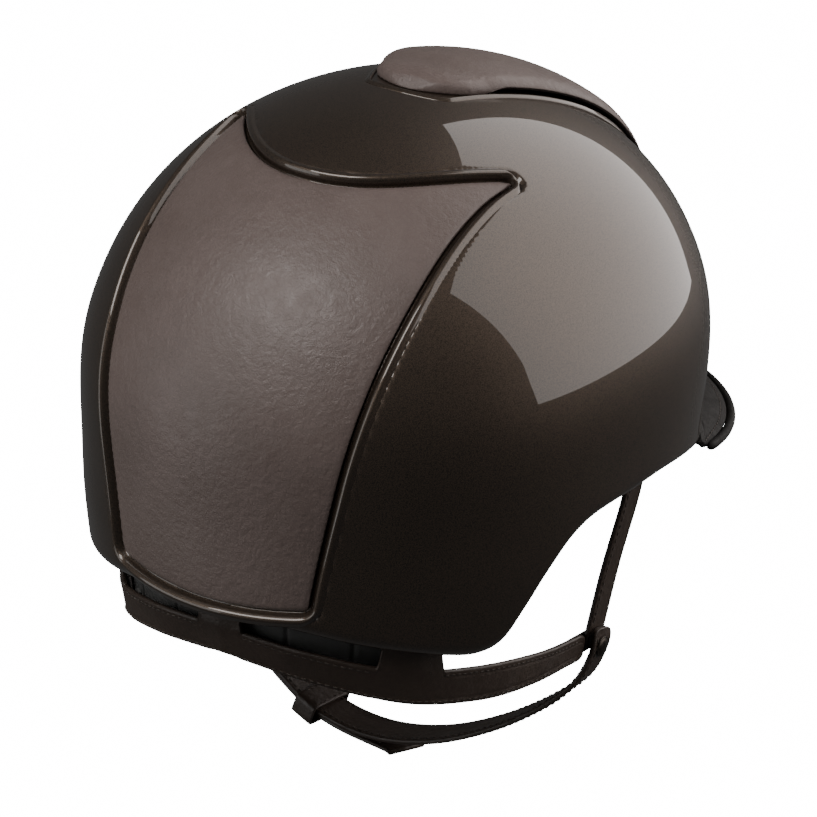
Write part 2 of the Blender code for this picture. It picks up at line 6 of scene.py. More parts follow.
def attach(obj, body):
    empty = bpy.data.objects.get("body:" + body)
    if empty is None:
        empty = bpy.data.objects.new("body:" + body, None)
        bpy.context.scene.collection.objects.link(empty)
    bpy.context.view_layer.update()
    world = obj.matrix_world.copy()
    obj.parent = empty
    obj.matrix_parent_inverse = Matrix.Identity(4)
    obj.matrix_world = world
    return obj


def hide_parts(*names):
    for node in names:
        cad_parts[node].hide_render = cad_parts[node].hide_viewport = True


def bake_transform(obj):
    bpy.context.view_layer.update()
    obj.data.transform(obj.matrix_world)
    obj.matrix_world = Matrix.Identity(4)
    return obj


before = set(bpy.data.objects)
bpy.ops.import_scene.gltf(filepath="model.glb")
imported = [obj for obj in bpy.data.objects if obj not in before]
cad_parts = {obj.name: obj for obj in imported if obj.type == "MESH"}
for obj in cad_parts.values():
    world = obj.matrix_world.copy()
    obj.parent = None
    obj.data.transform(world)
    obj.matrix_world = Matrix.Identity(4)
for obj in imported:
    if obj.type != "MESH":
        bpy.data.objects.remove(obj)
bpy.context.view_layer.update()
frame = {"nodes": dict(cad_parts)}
MM = 0.001
C = bpy.context.scene.collection

# ---------------------------------------------------------------- camera
AL, EL, ROLL, DIST, FPX = math.radians(32.2), math.radians(23.7), math.radians(1.7), 1.515, 3909.0
OX, OY = -22.3, -48.6
back = Vector((-math.sin(AL) * math.cos(EL), math.cos(AL) * math.cos(EL), math.sin(EL)))
r0 = Vector((-math.cos(AL), -math.sin(AL), 0)); u0 = back.cross(r0)
rt = r0 * math.cos(ROLL) + u0 * math.sin(ROLL); up = -r0 * math.sin(ROLL) + u0 * math.cos(ROLL)
fwd = (-back - rt * (OX / FPX) + up * (OY / FPX)).normalized()
zc = -fwd; xc = (rt - zc * rt.dot(zc)).normalized(); yc = zc.cross(xc)
cam = bpy.data.cameras.new("camera"); cam.sensor_width = 36.0; cam.lens = FPX * 36.0 / 817.0
cam.clip_start = 0.05; cam.clip_end = 50
co = bpy.data.objects.new("camera", cam); C.objects.link(co)
co.matrix_world = Matrix.Translation(back * DIST) @ Matrix((xc, yc, zc)).transposed().to_4x4()
bpy.context.scene.camera = co

# ---------------------------------------------------------------- the shell surface (same rule as the CAD, mm)
HALF_W, HALF_L, CROWN, SKIRT = 112.0, 137.0, 108.5, 220.0
SHAPE = (-0.05, -0.028, -0.007, 0.104, 0.052, 0.078)
RIM = ((0, -57.5), (10, -58.5), (19, -61), (28, -65), (37, -69), (46, -73), (52, -74.5), (57, -71), (61, -60), (66, -46),
       (72, -34), (79, -28), (92, -26.5), (104, -27.5), (118, -33), (133, -42), (150, -47), (180, -48))
TUCK = 8.0
PANEL_SIDE = ((-22.6, 18.6), (-10, 22.0), (0, 24.2), (20, 27.5), (40, 30.2), (60, 31.6), (82, 32.8), (84, 32.9))
INSERT_SIDE = ((95.0, 8.5), (100, 10.6), (106, 12.8), (114, 15.2), (124, 17.2), (138, 18.0), (152, 17.0), (164, 15.0))

def sst(x):
    x = np.clip(x, 0, 1); return x * x * (3 - 2 * x)
def keys(tab, x):
    tab = np.array(tab, float); X, Y = tab[:, 0], tab[:, 1]
    m = np.empty(len(X)); m[1:-1] = (Y[2:] - Y[:-2]) / (X[2:] - X[:-2]); m[0] = (Y[1]-Y[0])/(X[1]-X[0]); m[-1] = (Y[-1]-Y[-2])/(X[-1]-X[-2])
    x = np.clip(np.asarray(x, float), X[0], X[-1]); i = np.clip(np.searchsorted(X, x) - 1, 0, len(X) - 2)
    h = X[i+1] - X[i]; t = (x - X[i]) / h
    return (2*t**3-3*t*t+1)*Y[i] + (t**3-2*t*t+t)*m[i]*h + (3*t*t-2*t**3)*Y[i+1] + (t**3-t*t)*m[i+1]*h
def nrm(v): return v / np.linalg.norm(v, axis=-1, keepdims=True)
def radial(d):
    x, y, z = d[..., 0], d[..., 1], d[..., 2]
    w = sst((z + 0.35) / 0.7); ic = (1 - w) / SKIRT**2 + w / CROWN**2
    r = 1 / np.sqrt((x/HALF_W)**2 + (y/HALF_L)**2 + z*z*ic); a, b, c, e, f, g = SHAPE
    return r * (1 + a*y + b*y**3 + c*y*z + e*x*x*z*z + f*y*y*z*z + g*x*x*y*y)
def at(d, off=0.0):
    d = nrm(d); return d * (radial(d) + off)[..., None]
def normal_at(d):
    d = nrm(d); a = nrm(np.cross(d, np.array([0.13, 0.31, 0.94]))); b = np.cross(d, a); e = 2e-3
    n = np.cross(at(d + e*a) - at(d - e*a), at(d + e*b) - at(d - e*b)); n = nrm(n)
    return n * np.sign((n * d).sum(-1, keepdims=True))
def lift(d, h):
    """Point h above the surface along its true normal."""
    return at(d) + normal_at(d) * np.asarray(h)[..., None]
def polar(phi, th):
    p, t = np.radians(phi), np.radians(th); return np.stack([-np.sin(t)*np.sin(p), np.sin(t)*np.cos(p), np.cos(t)+0*p], -1)
def chart(psi, lam):
    p, l = np.radians(psi), np.radians(lam); return np.stack([-np.sin(l)+0*p, np.cos(l)*np.cos(p), np.cos(l)*np.sin(p)], -1)
def unchart(v):
    d = nrm(v); return np.degrees(np.arctan2(d[..., 2], d[..., 1])), np.degrees(np.arcsin(-d[..., 0]))
def rim_z(phi): return keys(RIM, np.abs((np.asarray(phi, float) + 180) % 360 - 180))
def theta_for(phi, z, off=0.0):
    phi = np.asarray(phi, float); lo = np.full(phi.shape, 5.0); hi = np.full(phi.shape, 150.0)
    for _ in range(34):
        mid = (lo + hi) / 2; d = polar(phi, mid); q = (radial(d) + off) * d[..., 2] > z
        lo = np.where(q, mid, lo); hi = np.where(q, hi, mid)
    return lo

# ---------------------------------------------------------------- mesh helpers
def mesh(name, V, F, mat=None, body="helmet", replaces=(), smooth=180, subd=0):
    me = bpy.data.meshes.new(name); me.from_pydata((np.asarray(V, float) * MM).tolist(), [], F); me.update()
    bm = bmesh.new(); bm.from_mesh(me); bmesh.ops.remove_doubles(bm, verts=bm.verts, dist=2e-7)
    bmesh.ops.dissolve_degenerate(bm, dist=1e-7, edges=bm.edges); bmesh.ops.recalc_face_normals(bm, faces=bm.faces); bm.to_mesh(me); bm.free()
    me.shade_smooth()
    if smooth < 180: me.set_sharp_from_angle(angle=math.radians(smooth))
    ob = bpy.data.objects.new(name, me); C.objects.link(ob)
    if mat: me.materials.append(mat)
    if body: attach(ob, body)
    if replaces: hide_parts(*replaces)
    return ob
def grid_faces(n, m, base=0, flip=False, wrap_n=False, wrap_m=False):
    F = []; N = n if wrap_n else n - 1; M = m if wrap_m else m - 1
    for i in range(N):
        for j in range(M):
            a = base + i*m + j; b = base + ((i+1) % n)*m + j; c = base + ((i+1) % n)*m + (j+1) % m; d = base + i*m + (j+1) % m
            F.append((a, d, c, b) if flip else (a, b, c, d))
    return F
def closed_patch(top, bot):
    """Closed body from two n x m grids of points."""
    n, m = top.shape[:2]; V = np.concatenate([top.reshape(-1, 3), bot.reshape(-1, 3)]); B = n * m
    F = grid_faces(n, m) + grid_faces(n, m, B, True)
    idx = [i*m for i in range(n)] + [(n-1)*m + j for j in range(1, m)] + [i*m + m-1 for i in range(n-2, -1, -1)] + [j for j in range(m-2, 0, -1)]
    for k in range(len(idx)):
        a, b = idx[k], idx[(k+1) % len(idx)]; F.append((b, a, B + a, B + b))
    return V, F
def worley(P, cell, seed=0):
    """Cellular noise: distances to the nearest and second feature point, and a cell value."""
    rng = np.random.RandomState(seed); T = rng.rand(4096, 4); q = P / cell; g = np.floor(q).astype(int)
    f1 = np.full(len(P), 9.0); f2 = f1.copy(); cv = np.zeros(len(P))
    for dx in (-1, 0, 1):
        for dy in (-1, 0, 1):
            for dz in (-1, 0, 1):
                c = g + (dx, dy, dz); h = (c[:, 0]*73856093 ^ c[:, 1]*19349663 ^ c[:, 2]*83492791) & 4095
                d = np.linalg.norm(c + T[h, :3] - q, axis=1); near = d < f1
                f2 = np.where(near, f1, np.minimum(f2, d)); cv = np.where(near, T[h, 3], cv); f1 = np.where(near, d, f1)
    return f1, f2, cv

# ---------------------------------------------------------------- materials
def nodes(name):
    m = bpy.data.materials.new(name); m.use_nodes = True; nt = m.node_tree
    return m, nt, nt.nodes["Principled BSDF"]
def N(nt, kind, **kw):
    n = nt.nodes.new(kind)
    for k, v in kw.items():
        if k in n.inputs.keys(): n.inputs[k].default_value = v
        else: setattr(n, k, v)
    return n
def L(nt, a, b): nt.links.new(a, b)
def ramp(nt, fac, stops):
    r = nt.nodes.new("ShaderNodeValToRGB"); e = r.color_ramp.elements
    while len(e) < len(stops): e.new(0.5)
    for q, (p, c) in zip(e, stops): q.position = p; q.color = (*c, 1)
    L(nt, fac, r.inputs[0]); return r.outputs[0]
def mrange(nt, x, a, b, c, d):
    n = nt.nodes.new("ShaderNodeMapRange"); n.inputs[1].default_value = a; n.inputs[2].default_value = b
    n.inputs[3].default_value = c; n.inputs[4].default_value = d; L(nt, x, n.inputs[0]); return n.outputs[0]
def coords(nt): return nt.nodes.new("ShaderNodeTexCoord").outputs["Object"]
def noise(nt, co_, scale, detail=3, rough=0.55):
    n = N(nt, "ShaderNodeTexNoise", Scale=scale, Detail=detail, Roughness=rough); L(nt, co_, n.inputs["Vector"]); return n.outputs["Fac"]
def voro(nt, co_, scale, feature="F1", rnd=1.0):
    n = nt.nodes.new("ShaderNodeTexVoronoi"); n.feature = feature; n.inputs["Scale"].default_value = scale
    n.inputs["Randomness"].default_value = rnd; L(nt, co_, n.inputs["Vector"]); return n
def bump(nt, h, strength, dist, prev=None):
    n = N(nt, "ShaderNodeBump", Strength=strength, Distance=dist); L(nt, h, n.inputs["Height"])
    if prev: L(nt, prev, n.inputs["Normal"])
    return n.outputs[0]

def m_shell():
    m, nt, b = nodes("shell_gloss_lacquer"); c = coords(nt)
    fl = voro(nt, c, 2600.0); big = noise(nt, c, 16.0, 3)
    col = ramp(nt, mrange(nt, fl.outputs["Distance"], 0.0, 0.9, 0.0, 1.0), ((0.0, (0.100, 0.068, 0.047)), (0.55, (0.054, 0.039, 0.028)), (1.0, (0.029, 0.0225, 0.017))))
    mix = nt.nodes.new("ShaderNodeMix"); mix.data_type = "RGBA"; mix.blend_type = "MULTIPLY"; mix.inputs[0].default_value = 0.5
    L(nt, col, mix.inputs[6]); L(nt, ramp(nt, big, ((0.3, (0.82, 0.82, 0.82)), (0.7, (1, 1, 1)))), mix.inputs[7]); L(nt, mix.outputs[2], b.inputs["Base Color"])
    L(nt, mrange(nt, big, 0.3, 0.7, 0.44, 0.50), b.inputs["Roughness"])
    b.inputs["Metallic"].default_value = 0.75; b.inputs["Coat Weight"].default_value = 1.0; b.inputs["Coat Roughness"].default_value = 0.018; b.inputs["Coat IOR"].default_value = 1.5
    L(nt, bump(nt, fl.outputs["Color"], 0.05, 0.00002), b.inputs["Normal"])
    return m
def m_leather(name, lo, mid, hi, rough, cell, strength, sheen=0.0, spec=0.4, wear=0.0):
    m, nt, b = nodes(name); c = coords(nt)
    warp = N(nt, "ShaderNodeTexNoise", Scale=220.0, Detail=2.0); L(nt, c, warp.inputs["Vector"])
    add = nt.nodes.new("ShaderNodeVectorMath"); add.operation = "MULTIPLY_ADD"; L(nt, warp.outputs["Color"], add.inputs[0]); add.inputs[1].default_value = (0.0016, 0.0016, 0.0016); L(nt, c, add.inputs[2])
    v = voro(nt, add.outputs[0], cell, "DISTANCE_TO_EDGE"); v2 = voro(nt, add.outputs[0], cell * 2.3, "DISTANCE_TO_EDGE")
    grain = mrange(nt, v.outputs["Distance"], 0.0, 0.28, 0.0, 1.0); g2 = mrange(nt, v2.outputs["Distance"], 0.0, 0.25, 0.0, 1.0)
    fine = noise(nt, c, 2600.0, 2); mott = noise(nt, c, 22.0, 4, 0.6); med = noise(nt, c, 160.0, 3)
    col = ramp(nt, mott, ((0.28, lo), (0.52, mid), (0.78, hi)))
    mx = nt.nodes.new("ShaderNodeMix"); mx.data_type = "RGBA"; mx.blend_type = "MULTIPLY"; mx.inputs[0].default_value = 0.16
    L(nt, col, mx.inputs[6]); L(nt, ramp(nt, grain, ((0.0, (0.62, 0.60, 0.59)), (0.7, (1, 1, 1)))), mx.inputs[7]); L(nt, mx.outputs[2], b.inputs["Base Color"])
    L(nt, mrange(nt, med, 0.3, 0.7, rough - 0.07, rough + 0.08), b.inputs["Roughness"])
    b.inputs["Specular IOR Level"].default_value = spec
    if sheen: b.inputs["Sheen Weight"].default_value = sheen; b.inputs["Sheen Roughness"].default_value = 0.5
    n0 = bump(nt, noise(nt, c, 360.0, 2, 0.5), 0.6, 0.0005); n1 = bump(nt, grain, strength * 0.55, 0.00016, n0); n2 = bump(nt, g2, strength * 0.6, 0.00012, n1); n3 = bump(nt, fine, 0.22, 0.00006, n2)
    L(nt, n3, b.inputs["Normal"]); return m
def m_fabric(name, lo, hi, scale=900.0, sheen=0.35):
    m, nt, b = nodes(name); c = coords(nt)
    w1 = N(nt, "ShaderNodeTexWave", Scale=scale, Distortion=1.2, Detail=1.0); L(nt, c, w1.inputs["Vector"]); w1.bands_direction = "Z"
    w2 = N(nt, "ShaderNodeTexWave", Scale=scale, Distortion=1.2, Detail=1.0); L(nt, c, w2.inputs["Vector"]); w2.bands_direction = "DIAGONAL"
    mx = nt.nodes.new("ShaderNodeMath"); mx.operation = "MAXIMUM"; L(nt, w1.outputs["Fac"], mx.inputs[0]); L(nt, w2.outputs["Fac"], mx.inputs[1])
    L(nt, ramp(nt, mx.outputs[0], ((0.3, lo), (0.95, hi))), b.inputs["Base Color"]); L(nt, mrange(nt, noise(nt, c, 80), 0.3, 0.7, 0.82, 0.95), b.inputs["Roughness"])
    b.inputs["Sheen Weight"].default_value = sheen; L(nt, bump(nt, mx.outputs[0], 0.5, 0.0002), b.inputs["Normal"]); return m
def m_plain(name, lo, hi, r0_, r1_, metal=0.0, scale=400.0, st=0.12, dist=0.00008, spec=0.5):
    m, nt, b = nodes(name); c = coords(nt); n = noise(nt, c, scale, 3)
    L(nt, ramp(nt, n, ((0.3, lo), (0.7, hi))), b.inputs["Base Color"]); L(nt, mrange(nt, n, 0.3, 0.7, r0_, r1_), b.inputs["Roughness"])
    b.inputs["Metallic"].default_value = metal; b.inputs["Specular IOR Level"].default_value = spec
    L(nt, bump(nt, noise(nt, c, scale * 3, 2), st, dist), b.inputs["Normal"]); return m
def m_foam():
    m, nt, b = nodes("eps_foam"); c = coords(nt); v = voro(nt, c, 330.0, "DISTANCE_TO_EDGE"); e = mrange(nt, v.outputs["Distance"], 0, 0.2, 0, 1)
    L(nt, ramp(nt, e, ((0, (0.010, 0.010, 0.011)), (1, (0.024, 0.024, 0.026)))), b.inputs["Base Color"]); L(nt, mrange(nt, e, 0, 1, 0.9, 0.72), b.inputs["Roughness"])
    L(nt, bump(nt, e, 0.5, 0.0003), b.inputs["Normal"]); return m

M_SHELL = m_shell()
M_PANEL = m_leather("inset_leather", (0.094, 0.071, 0.063), (0.108, 0.082, 0.074), (0.122, 0.094, 0.085), 0.47, 520.0, 0.42, sheen=0.02, spec=0.46)
# peak leather base colour is set far darker than the leather's own tone: painted shade standing in for the key light
# that does not reach the peak
M_PEAK_PAINTED_SHADE = m_leather("peak_leather_painted_shade", (0.0045, 0.004, 0.0036), (0.006, 0.0053, 0.0047), (0.0078, 0.007, 0.006), 0.62, 900.0, 0.25, spec=0.16)
# nape knit is the liner knit made about two and a half times brighter: painted fill light making up for the shade this
# pad sits in
M_NAPE_PAINTED_LIGHT = m_fabric("nape_knit_painted_light", (0.020, 0.020, 0.019), (0.050, 0.050, 0.047), 1100.0, 0.3)
M_STRAP = m_leather("harness_leather", (0.029, 0.0195, 0.0145), (0.041, 0.0285, 0.0215), (0.055, 0.040, 0.030), 0.44, 900.0, 0.30, spec=0.45)
M_INNER = m_leather("harness_leather_lining", (0.030, 0.0225, 0.0175), (0.040, 0.031, 0.025), (0.052, 0.041, 0.033), 0.62, 1100.0, 0.35, spec=0.35)
M_THREAD = m_fabric("stitching_thread", (0.020, 0.014, 0.010), (0.060, 0.045, 0.034), 2600.0, 0.2)
M_FOAM = m_foam()
M_FAB = m_fabric("liner_knit", (0.0075, 0.0075, 0.0105), (0.021, 0.021, 0.028), 1100.0)
M_MESH = m_fabric("liner_spacer_mesh", (0.006, 0.006, 0.008), (0.026, 0.026, 0.033), 620.0)
M_PLAS = m_plain("dark_plastic", (0.010, 0.0095, 0.009), (0.015, 0.014, 0.0135), 0.36, 0.46)
M_RUB = m_plain("binding_rubber", (0.0085, 0.0085, 0.009), (0.0125, 0.0125, 0.013), 0.5, 0.62)
M_MET = m_plain("gunmetal", (0.050, 0.042, 0.036), (0.072, 0.061, 0.053), 0.30, 0.42, metal=1.0, scale=900, st=0.05)

# ---------------------------------------------------------------- rear inset outline: a dense loop, corners rounded
def resample(P, step=None, n=None):
    Q = np.vstack([P, P[:1]]); s = np.concatenate([[0], np.cumsum(np.linalg.norm(np.diff(Q, axis=0), axis=1))])
    n = n or int(s[-1] / step); t = np.linspace(0, s[-1], n, endpoint=False)
    return np.stack([np.interp(t, s, Q[:, k]) for k in range(3)], -1)
def gauss_loop(P, sigma):
    n = len(P); k = np.fft.fftfreq(n) * n; step = np.linalg.norm(np.diff(P, axis=0), axis=1).mean()
    g = np.exp(-0.5 * (2*np.pi*k/n * sigma/step)**2); return np.real(np.fft.ifft(np.fft.fft(P, axis=0) * g[:, None], axis=0))
def raw_panel():
    tipP, tipL = 83.1, 33.3
    l = np.linspace(-tipL, tipL, 240); top = chart(57.6 + (tipP - 57.6) * (np.abs(l)/tipL)**2.2, l)
    p = np.linspace(tipP, -23.0, 260); sd = keys(PANEL_SIDE, p) + 0.45 * sst((p - 70) / 13); sd[0] = tipL; right = chart(p, sd)
    l2 = np.linspace(18.9, -18.9, 160); bot = chart(-22.5 - 0.45 * (l2/18.6)**2, l2)
    left = right[::-1] * np.array([-1, 1, 1]); return np.vstack([top[:-1], right[:-1], bot[:-1], left[:-1]])
LOOP = at(resample(at(raw_panel()), 0.55)); LOOP = at(gauss_loop(LOOP, 2.1)); LOOP = at(resample(LOOP, 0.6))
def loop_frame(P):
    t = nrm(np.roll(P, -1, 0) - np.roll(P, 1, 0)); n = normal_at(P); o = nrm(np.cross(t, n))
    if (o[len(P)//2] @ (P[len(P)//2] - P.mean(0))) < 0: o = -o
    return t, n, o
LT, LN, LO = loop_frame(LOOP)
def out_loop(d, h):
    """Loop moved outward d and raised h; corners stay round."""
    Q = LOOP + LO * d
    if d > 0: Q = gauss_loop(Q, 0.6 + 0.22 * d)
    q = nrm(Q); return at(q) + normal_at(q) * h
def sdist(P):
    """Signed distance from the inset outline, negative inside."""
    out = np.empty(len(P))
    for i in range(0, len(P), 4000):
        D = np.linalg.norm(P[i:i+4000, None] - LOOP[None, ::2], axis=2); k = D.argmin(1)*2; v = P[i:i+4000] - LOOP[k]
        out[i:i+4000] = np.sign((v * LO[k]).sum(1)) * D.min(1)
    return out

# ---------------------------------------------------------------- outer shell
def dome(nphi, nth, off_fn, z_fn, tuck=0.0, t0=0.0, power=1.0):
    phi = np.linspace(0, 360, nphi, endpoint=False); th1 = theta_for(phi, z_fn(phi))
    f = np.linspace(0 if t0 else 1/nth, 1, nth); f = 1 - (1 - f)**power
    PH, Fm = np.meshgrid(phi, f, indexing="ij"); TH = t0 + (th1[:, None] - t0) * Fm; d = polar(PH, TH)
    s = np.radians(th1[:, None] - TH) * radial(d)
    return phi, d, s
def build_shell():
    nphi, nth = 400, 170; phi, d, s = dome(nphi, nth, None, rim_z, power=1.45)
    T = TUCK * (0.62 + 0.38 * sst((85 - np.abs((phi + 180) % 360 - 180)) / 35))[:, None]
    tuck = np.where(s < T, T - np.sqrt(np.maximum(0, T*T - (T - s)**2)), 0)
    rec = np.zeros(s.shape); flat = d.reshape(-1, 3); P = at(flat); psi, lam = unchart(flat)
    near = (psi > -32) & (psi < 95) & (np.abs(lam) < 42); sd = np.full(len(P), 50.0); sd[near] = sdist(P[near])
    rec = (3.3 * sst((4.5 - sd) / 1.5)).reshape(s.shape)
    outer = at(d) - normal_at(d) * (tuck * 0.96 + rec)[..., None]
    Ti = T - 2.2; tin = np.where(s < Ti, Ti - np.sqrt(np.maximum(0, Ti*Ti - (Ti - s)**2)), 0)
    inner = at(d) - normal_at(d) * (4.15 + tin)[..., None]
    V = np.concatenate([outer.reshape(-1, 3), inner.reshape(-1, 3), [lift(np.array([0, 0, 1.0]), 0.0), lift(np.array([0, 0, 1.0]), -4.15)]])
    B = nphi * nth; F = grid_faces(nphi, nth, wrap_n=True) + grid_faces(nphi, nth, B, True, wrap_n=True)
    for i in range(nphi):
        j = (i + 1) % nphi; F.append((2*B, i*nth, j*nth)); F.append((2*B + 1, B + j*nth, B + i*nth)); F.append((i*nth + nth-1, j*nth + nth-1, B + j*nth + nth-1, B + i*nth + nth-1))
    return mesh("shell_surface", V, F, M_SHELL, replaces=("outer_shell",))
build_shell()

# raised rounded frame round the inset
SEC = [(0.10, -3.1), (0.9, -3.15), (1.35, -2.8), (1.6, -2.1), (1.75, -1.2), (1.95, -0.3), (2.35, 0.45), (2.9, 0.85), (3.5, 0.95), (4.1, 0.80), (4.7, 0.45), (5.2, 0.12), (5.8, -0.10), (6.3, -0.5), (5.0, -1.6), (2.0, -3.2), (0.6, -3.35)]
rows = np.stack([out_loop(a, h) for a, h in SEC], 1)
mesh("inset_frame", rows.reshape(-1, 3), grid_faces(len(LOOP), len(SEC), wrap_n=True, wrap_m=True), M_SHELL, replaces=("rear_panel_frame",))

# ---------------------------------------------------------------- leather surfaces
def leather_relief(P, amp, cell=2.6, seed=3):
    """Pebbled grain in real relief: flattened cells with fine creases, softened by a slow swell."""
    w = np.stack([np.sin(P[:, 1]*0.9 + P[:, 2]*0.5), np.sin(P[:, 2]*1.1 + P[:, 0]*0.4), np.sin(P[:, 0]*0.8 + P[:, 1]*0.7)], 1) * 0.35
    f1, f2, cv = worley(P + w, cell, seed); g1, g2, c2 = worley(P + w, cell * 0.45, seed + 7)
    return amp * (np.tanh((f2 - f1) * 4.0) - 0.72 + 0.28 * (cv - 0.5)) + amp * 0.35 * (np.tanh((g2 - g1) * 4.5) - 0.7)
def grid_inset(nu=230, nv=260):
    """Regular grid inside the outline: rows follow the side edges, clipped smoothly to the rounded loop."""
    u = np.linspace(-1, 1, nu); v = np.linspace(0, 1, nv); U, Vv = np.meshgrid(u, v, indexing="ij")
    psi_s = 83.1 - 106.1 * Vv; ls = keys(PANEL_SIDE, psi_s) + 0.45 * sst((psi_s - 70) / 13); lt = 33.3 * U; lb = 18.9 * U
    top = 57.6 + 25.5 * np.abs(U)**2.2; bot = -22.5 - 0.45 * (lb/18.6)**2
    c0 = np.array([83.1, -33.3]); c1 = np.array([83.1, 33.3]); c2 = np.array([-23.0, 18.9]); c3 = np.array([-23.0, -18.9]); s = (U + 1) / 2; t = Vv
    def cn(Ta, Ba, La, Ra, k): return (1-t)*Ta + t*Ba + (1-s)*La + s*Ra - ((1-s)*(1-t)*c0[k] + s*(1-t)*c1[k] + s*t*c2[k] + (1-s)*t*c3[k])
    PS = cn(top, bot, psi_s, psi_s, 0); LA = cn(lt, lb, -ls, ls, 1)
    return PS, LA
PS, LA = grid_inset(); d = chart(PS, LA).reshape(-1, 3); P = at(d); sd = sdist(P)
# pull every point that lies outside the rounded outline back onto it
far = sd > -0.05
D = np.linalg.norm(P[far][:, None] - LOOP[None], axis=2); P[far] = LOOP[D.argmin(1)]; sd = np.minimum(sd, 0)
dn = nrm(P); nn = normal_at(dn); edge = np.minimum(1, np.maximum(0, -sd) / 2.2)
h = -1.55 + 0.62 * np.sqrt(1 - (1 - edge)**2) - 0.62 + leather_relief(P, 0.055, 2.3) * sst(edge)
top = (at(dn) + nn * h[:, None]).reshape(PS.shape + (3,)); bot = (at(dn) - nn * 2.9).reshape(PS.shape + (3,))
V, F = closed_patch(top, bot)
inset = mesh("rear_inset_leather", V, F, M_PANEL, replaces=("rear_panel",))

# ---------------------------------------------------------------- crown insert
def build_crown():
    nu, nv = 150, 260; p0, p1 = 94.6, 164.0; u = np.linspace(-1, 1, nu); v = np.linspace(0, 1, nv)**1.15
    U, Vv = np.meshgrid(u, v, indexing="ij"); psi = p0 + (p1 - p0) * Vv
    nose = np.clip((psi - p0) / 7.5, 0, 1); w = keys(INSERT_SIDE, psi) * np.sqrt(np.clip(1 - (1 - nose)**2.2, 0, 1)); tail = np.clip((p1 - psi) / 5.0, 0, 1)
    w = w * (0.80 + 0.20 * np.sqrt(np.clip(1 - (1 - tail)**2, 0, 1))); uu = np.sin(U * np.pi / 2)
    lam = w * uu; d = chart(psi, lam); e = 1 - np.abs(uu)
    # dome: steep rounded flank, soft crease, then a gently crowned top
    nose_h = np.sqrt(np.clip(1 - (1 - np.clip((psi - p0) / 6.0, 0, 1))**2, 0, 1)); tail_h = np.sqrt(np.clip(1 - (1 - np.clip((p1 - psi) / 7.0, 0, 1))**2, 0, 1))
    flank = np.sqrt(np.clip(1 - (1 - np.clip(e / 0.20, 0, 1))**2, 0, 1)); crownup = 1 - np.abs(uu)**2
    lowf = 0.25 + 2.6 * sst((psi - 103.5) / 6.0) * sst((p1 - 1.0 - psi) / 6.0)
    hi = lowf + 0.8 + (3.3 * flank + 1.5 * crownup - (lowf - 0.25) * 0.62) * nose_h * (0.35 + 0.65 * tail_h)
    hi = np.where(e < 1e-9, lowf + 0.55, hi); hi = lowf + (hi - lowf) * np.clip(nose_h * 1.4, 0.12, 1)
    P = at(d).reshape(-1, 3); rel = leather_relief(P, 0.05, 2.3).reshape(hi.shape) * sst(e * 8) * nose_h
    n = normal_at(d); top = at(d) + n * (hi + rel)[..., None]; bot = at(d) + n * (lowf + 0.25 * sst(e * 6) * 0)[..., None]
    V, F = closed_patch(top, bot)
    return mesh("crown_insert_leather", V, F, M_PANEL, replaces=("crown_insert",))
build_crown()
def build_lip():
    """Raised glossy lip on the shell that follows the crown insert, just outside it."""
    psi = np.linspace(163.5, 97.0, 190); lam = keys(INSERT_SIDE, psi); a = np.linspace(-1, 1, 60)[1:-1]
    right = chart(psi, lam); nose = chart(97.0 - 3.2 * np.sqrt(1 - a*a), -a * keys(INSERT_SIDE, 97.0) ); left = (right * np.array([-1, 1, 1]))[::-1]
    P = at(np.vstack([right, nose, left])); t = nrm(np.gradient(P, axis=0)); n = normal_at(P); o = nrm(np.cross(t, n))
    if o[10] @ np.array([-1, 0, 0]) < 0: o = -o
    f = np.minimum(1, np.minimum(np.arange(len(P)), np.arange(len(P))[::-1]) / 14.0)
    rows = []
    for a, h in ((0.3, -0.5), (0.5, 0.3), (0.9, 0.75), (1.3, 0.88), (1.8, 0.7), (2.6, 0.25), (3.5, -0.12), (3.0, -0.6), (1.0, -0.7)):
        q = nrm(P + o * a); rows.append(at(q) + normal_at(q) * np.where(h > 0, h * f, h)[:, None])
    R = np.stack(rows, 1); n_, m_ = R.shape[:2]; F = grid_faces(n_, m_, wrap_m=True) + [tuple(range(m_)), tuple(n_*m_ - 1 - k for k in range(m_))]
    return mesh("crown_lip", R.reshape(-1, 3), F, M_SHELL)
build_lip()

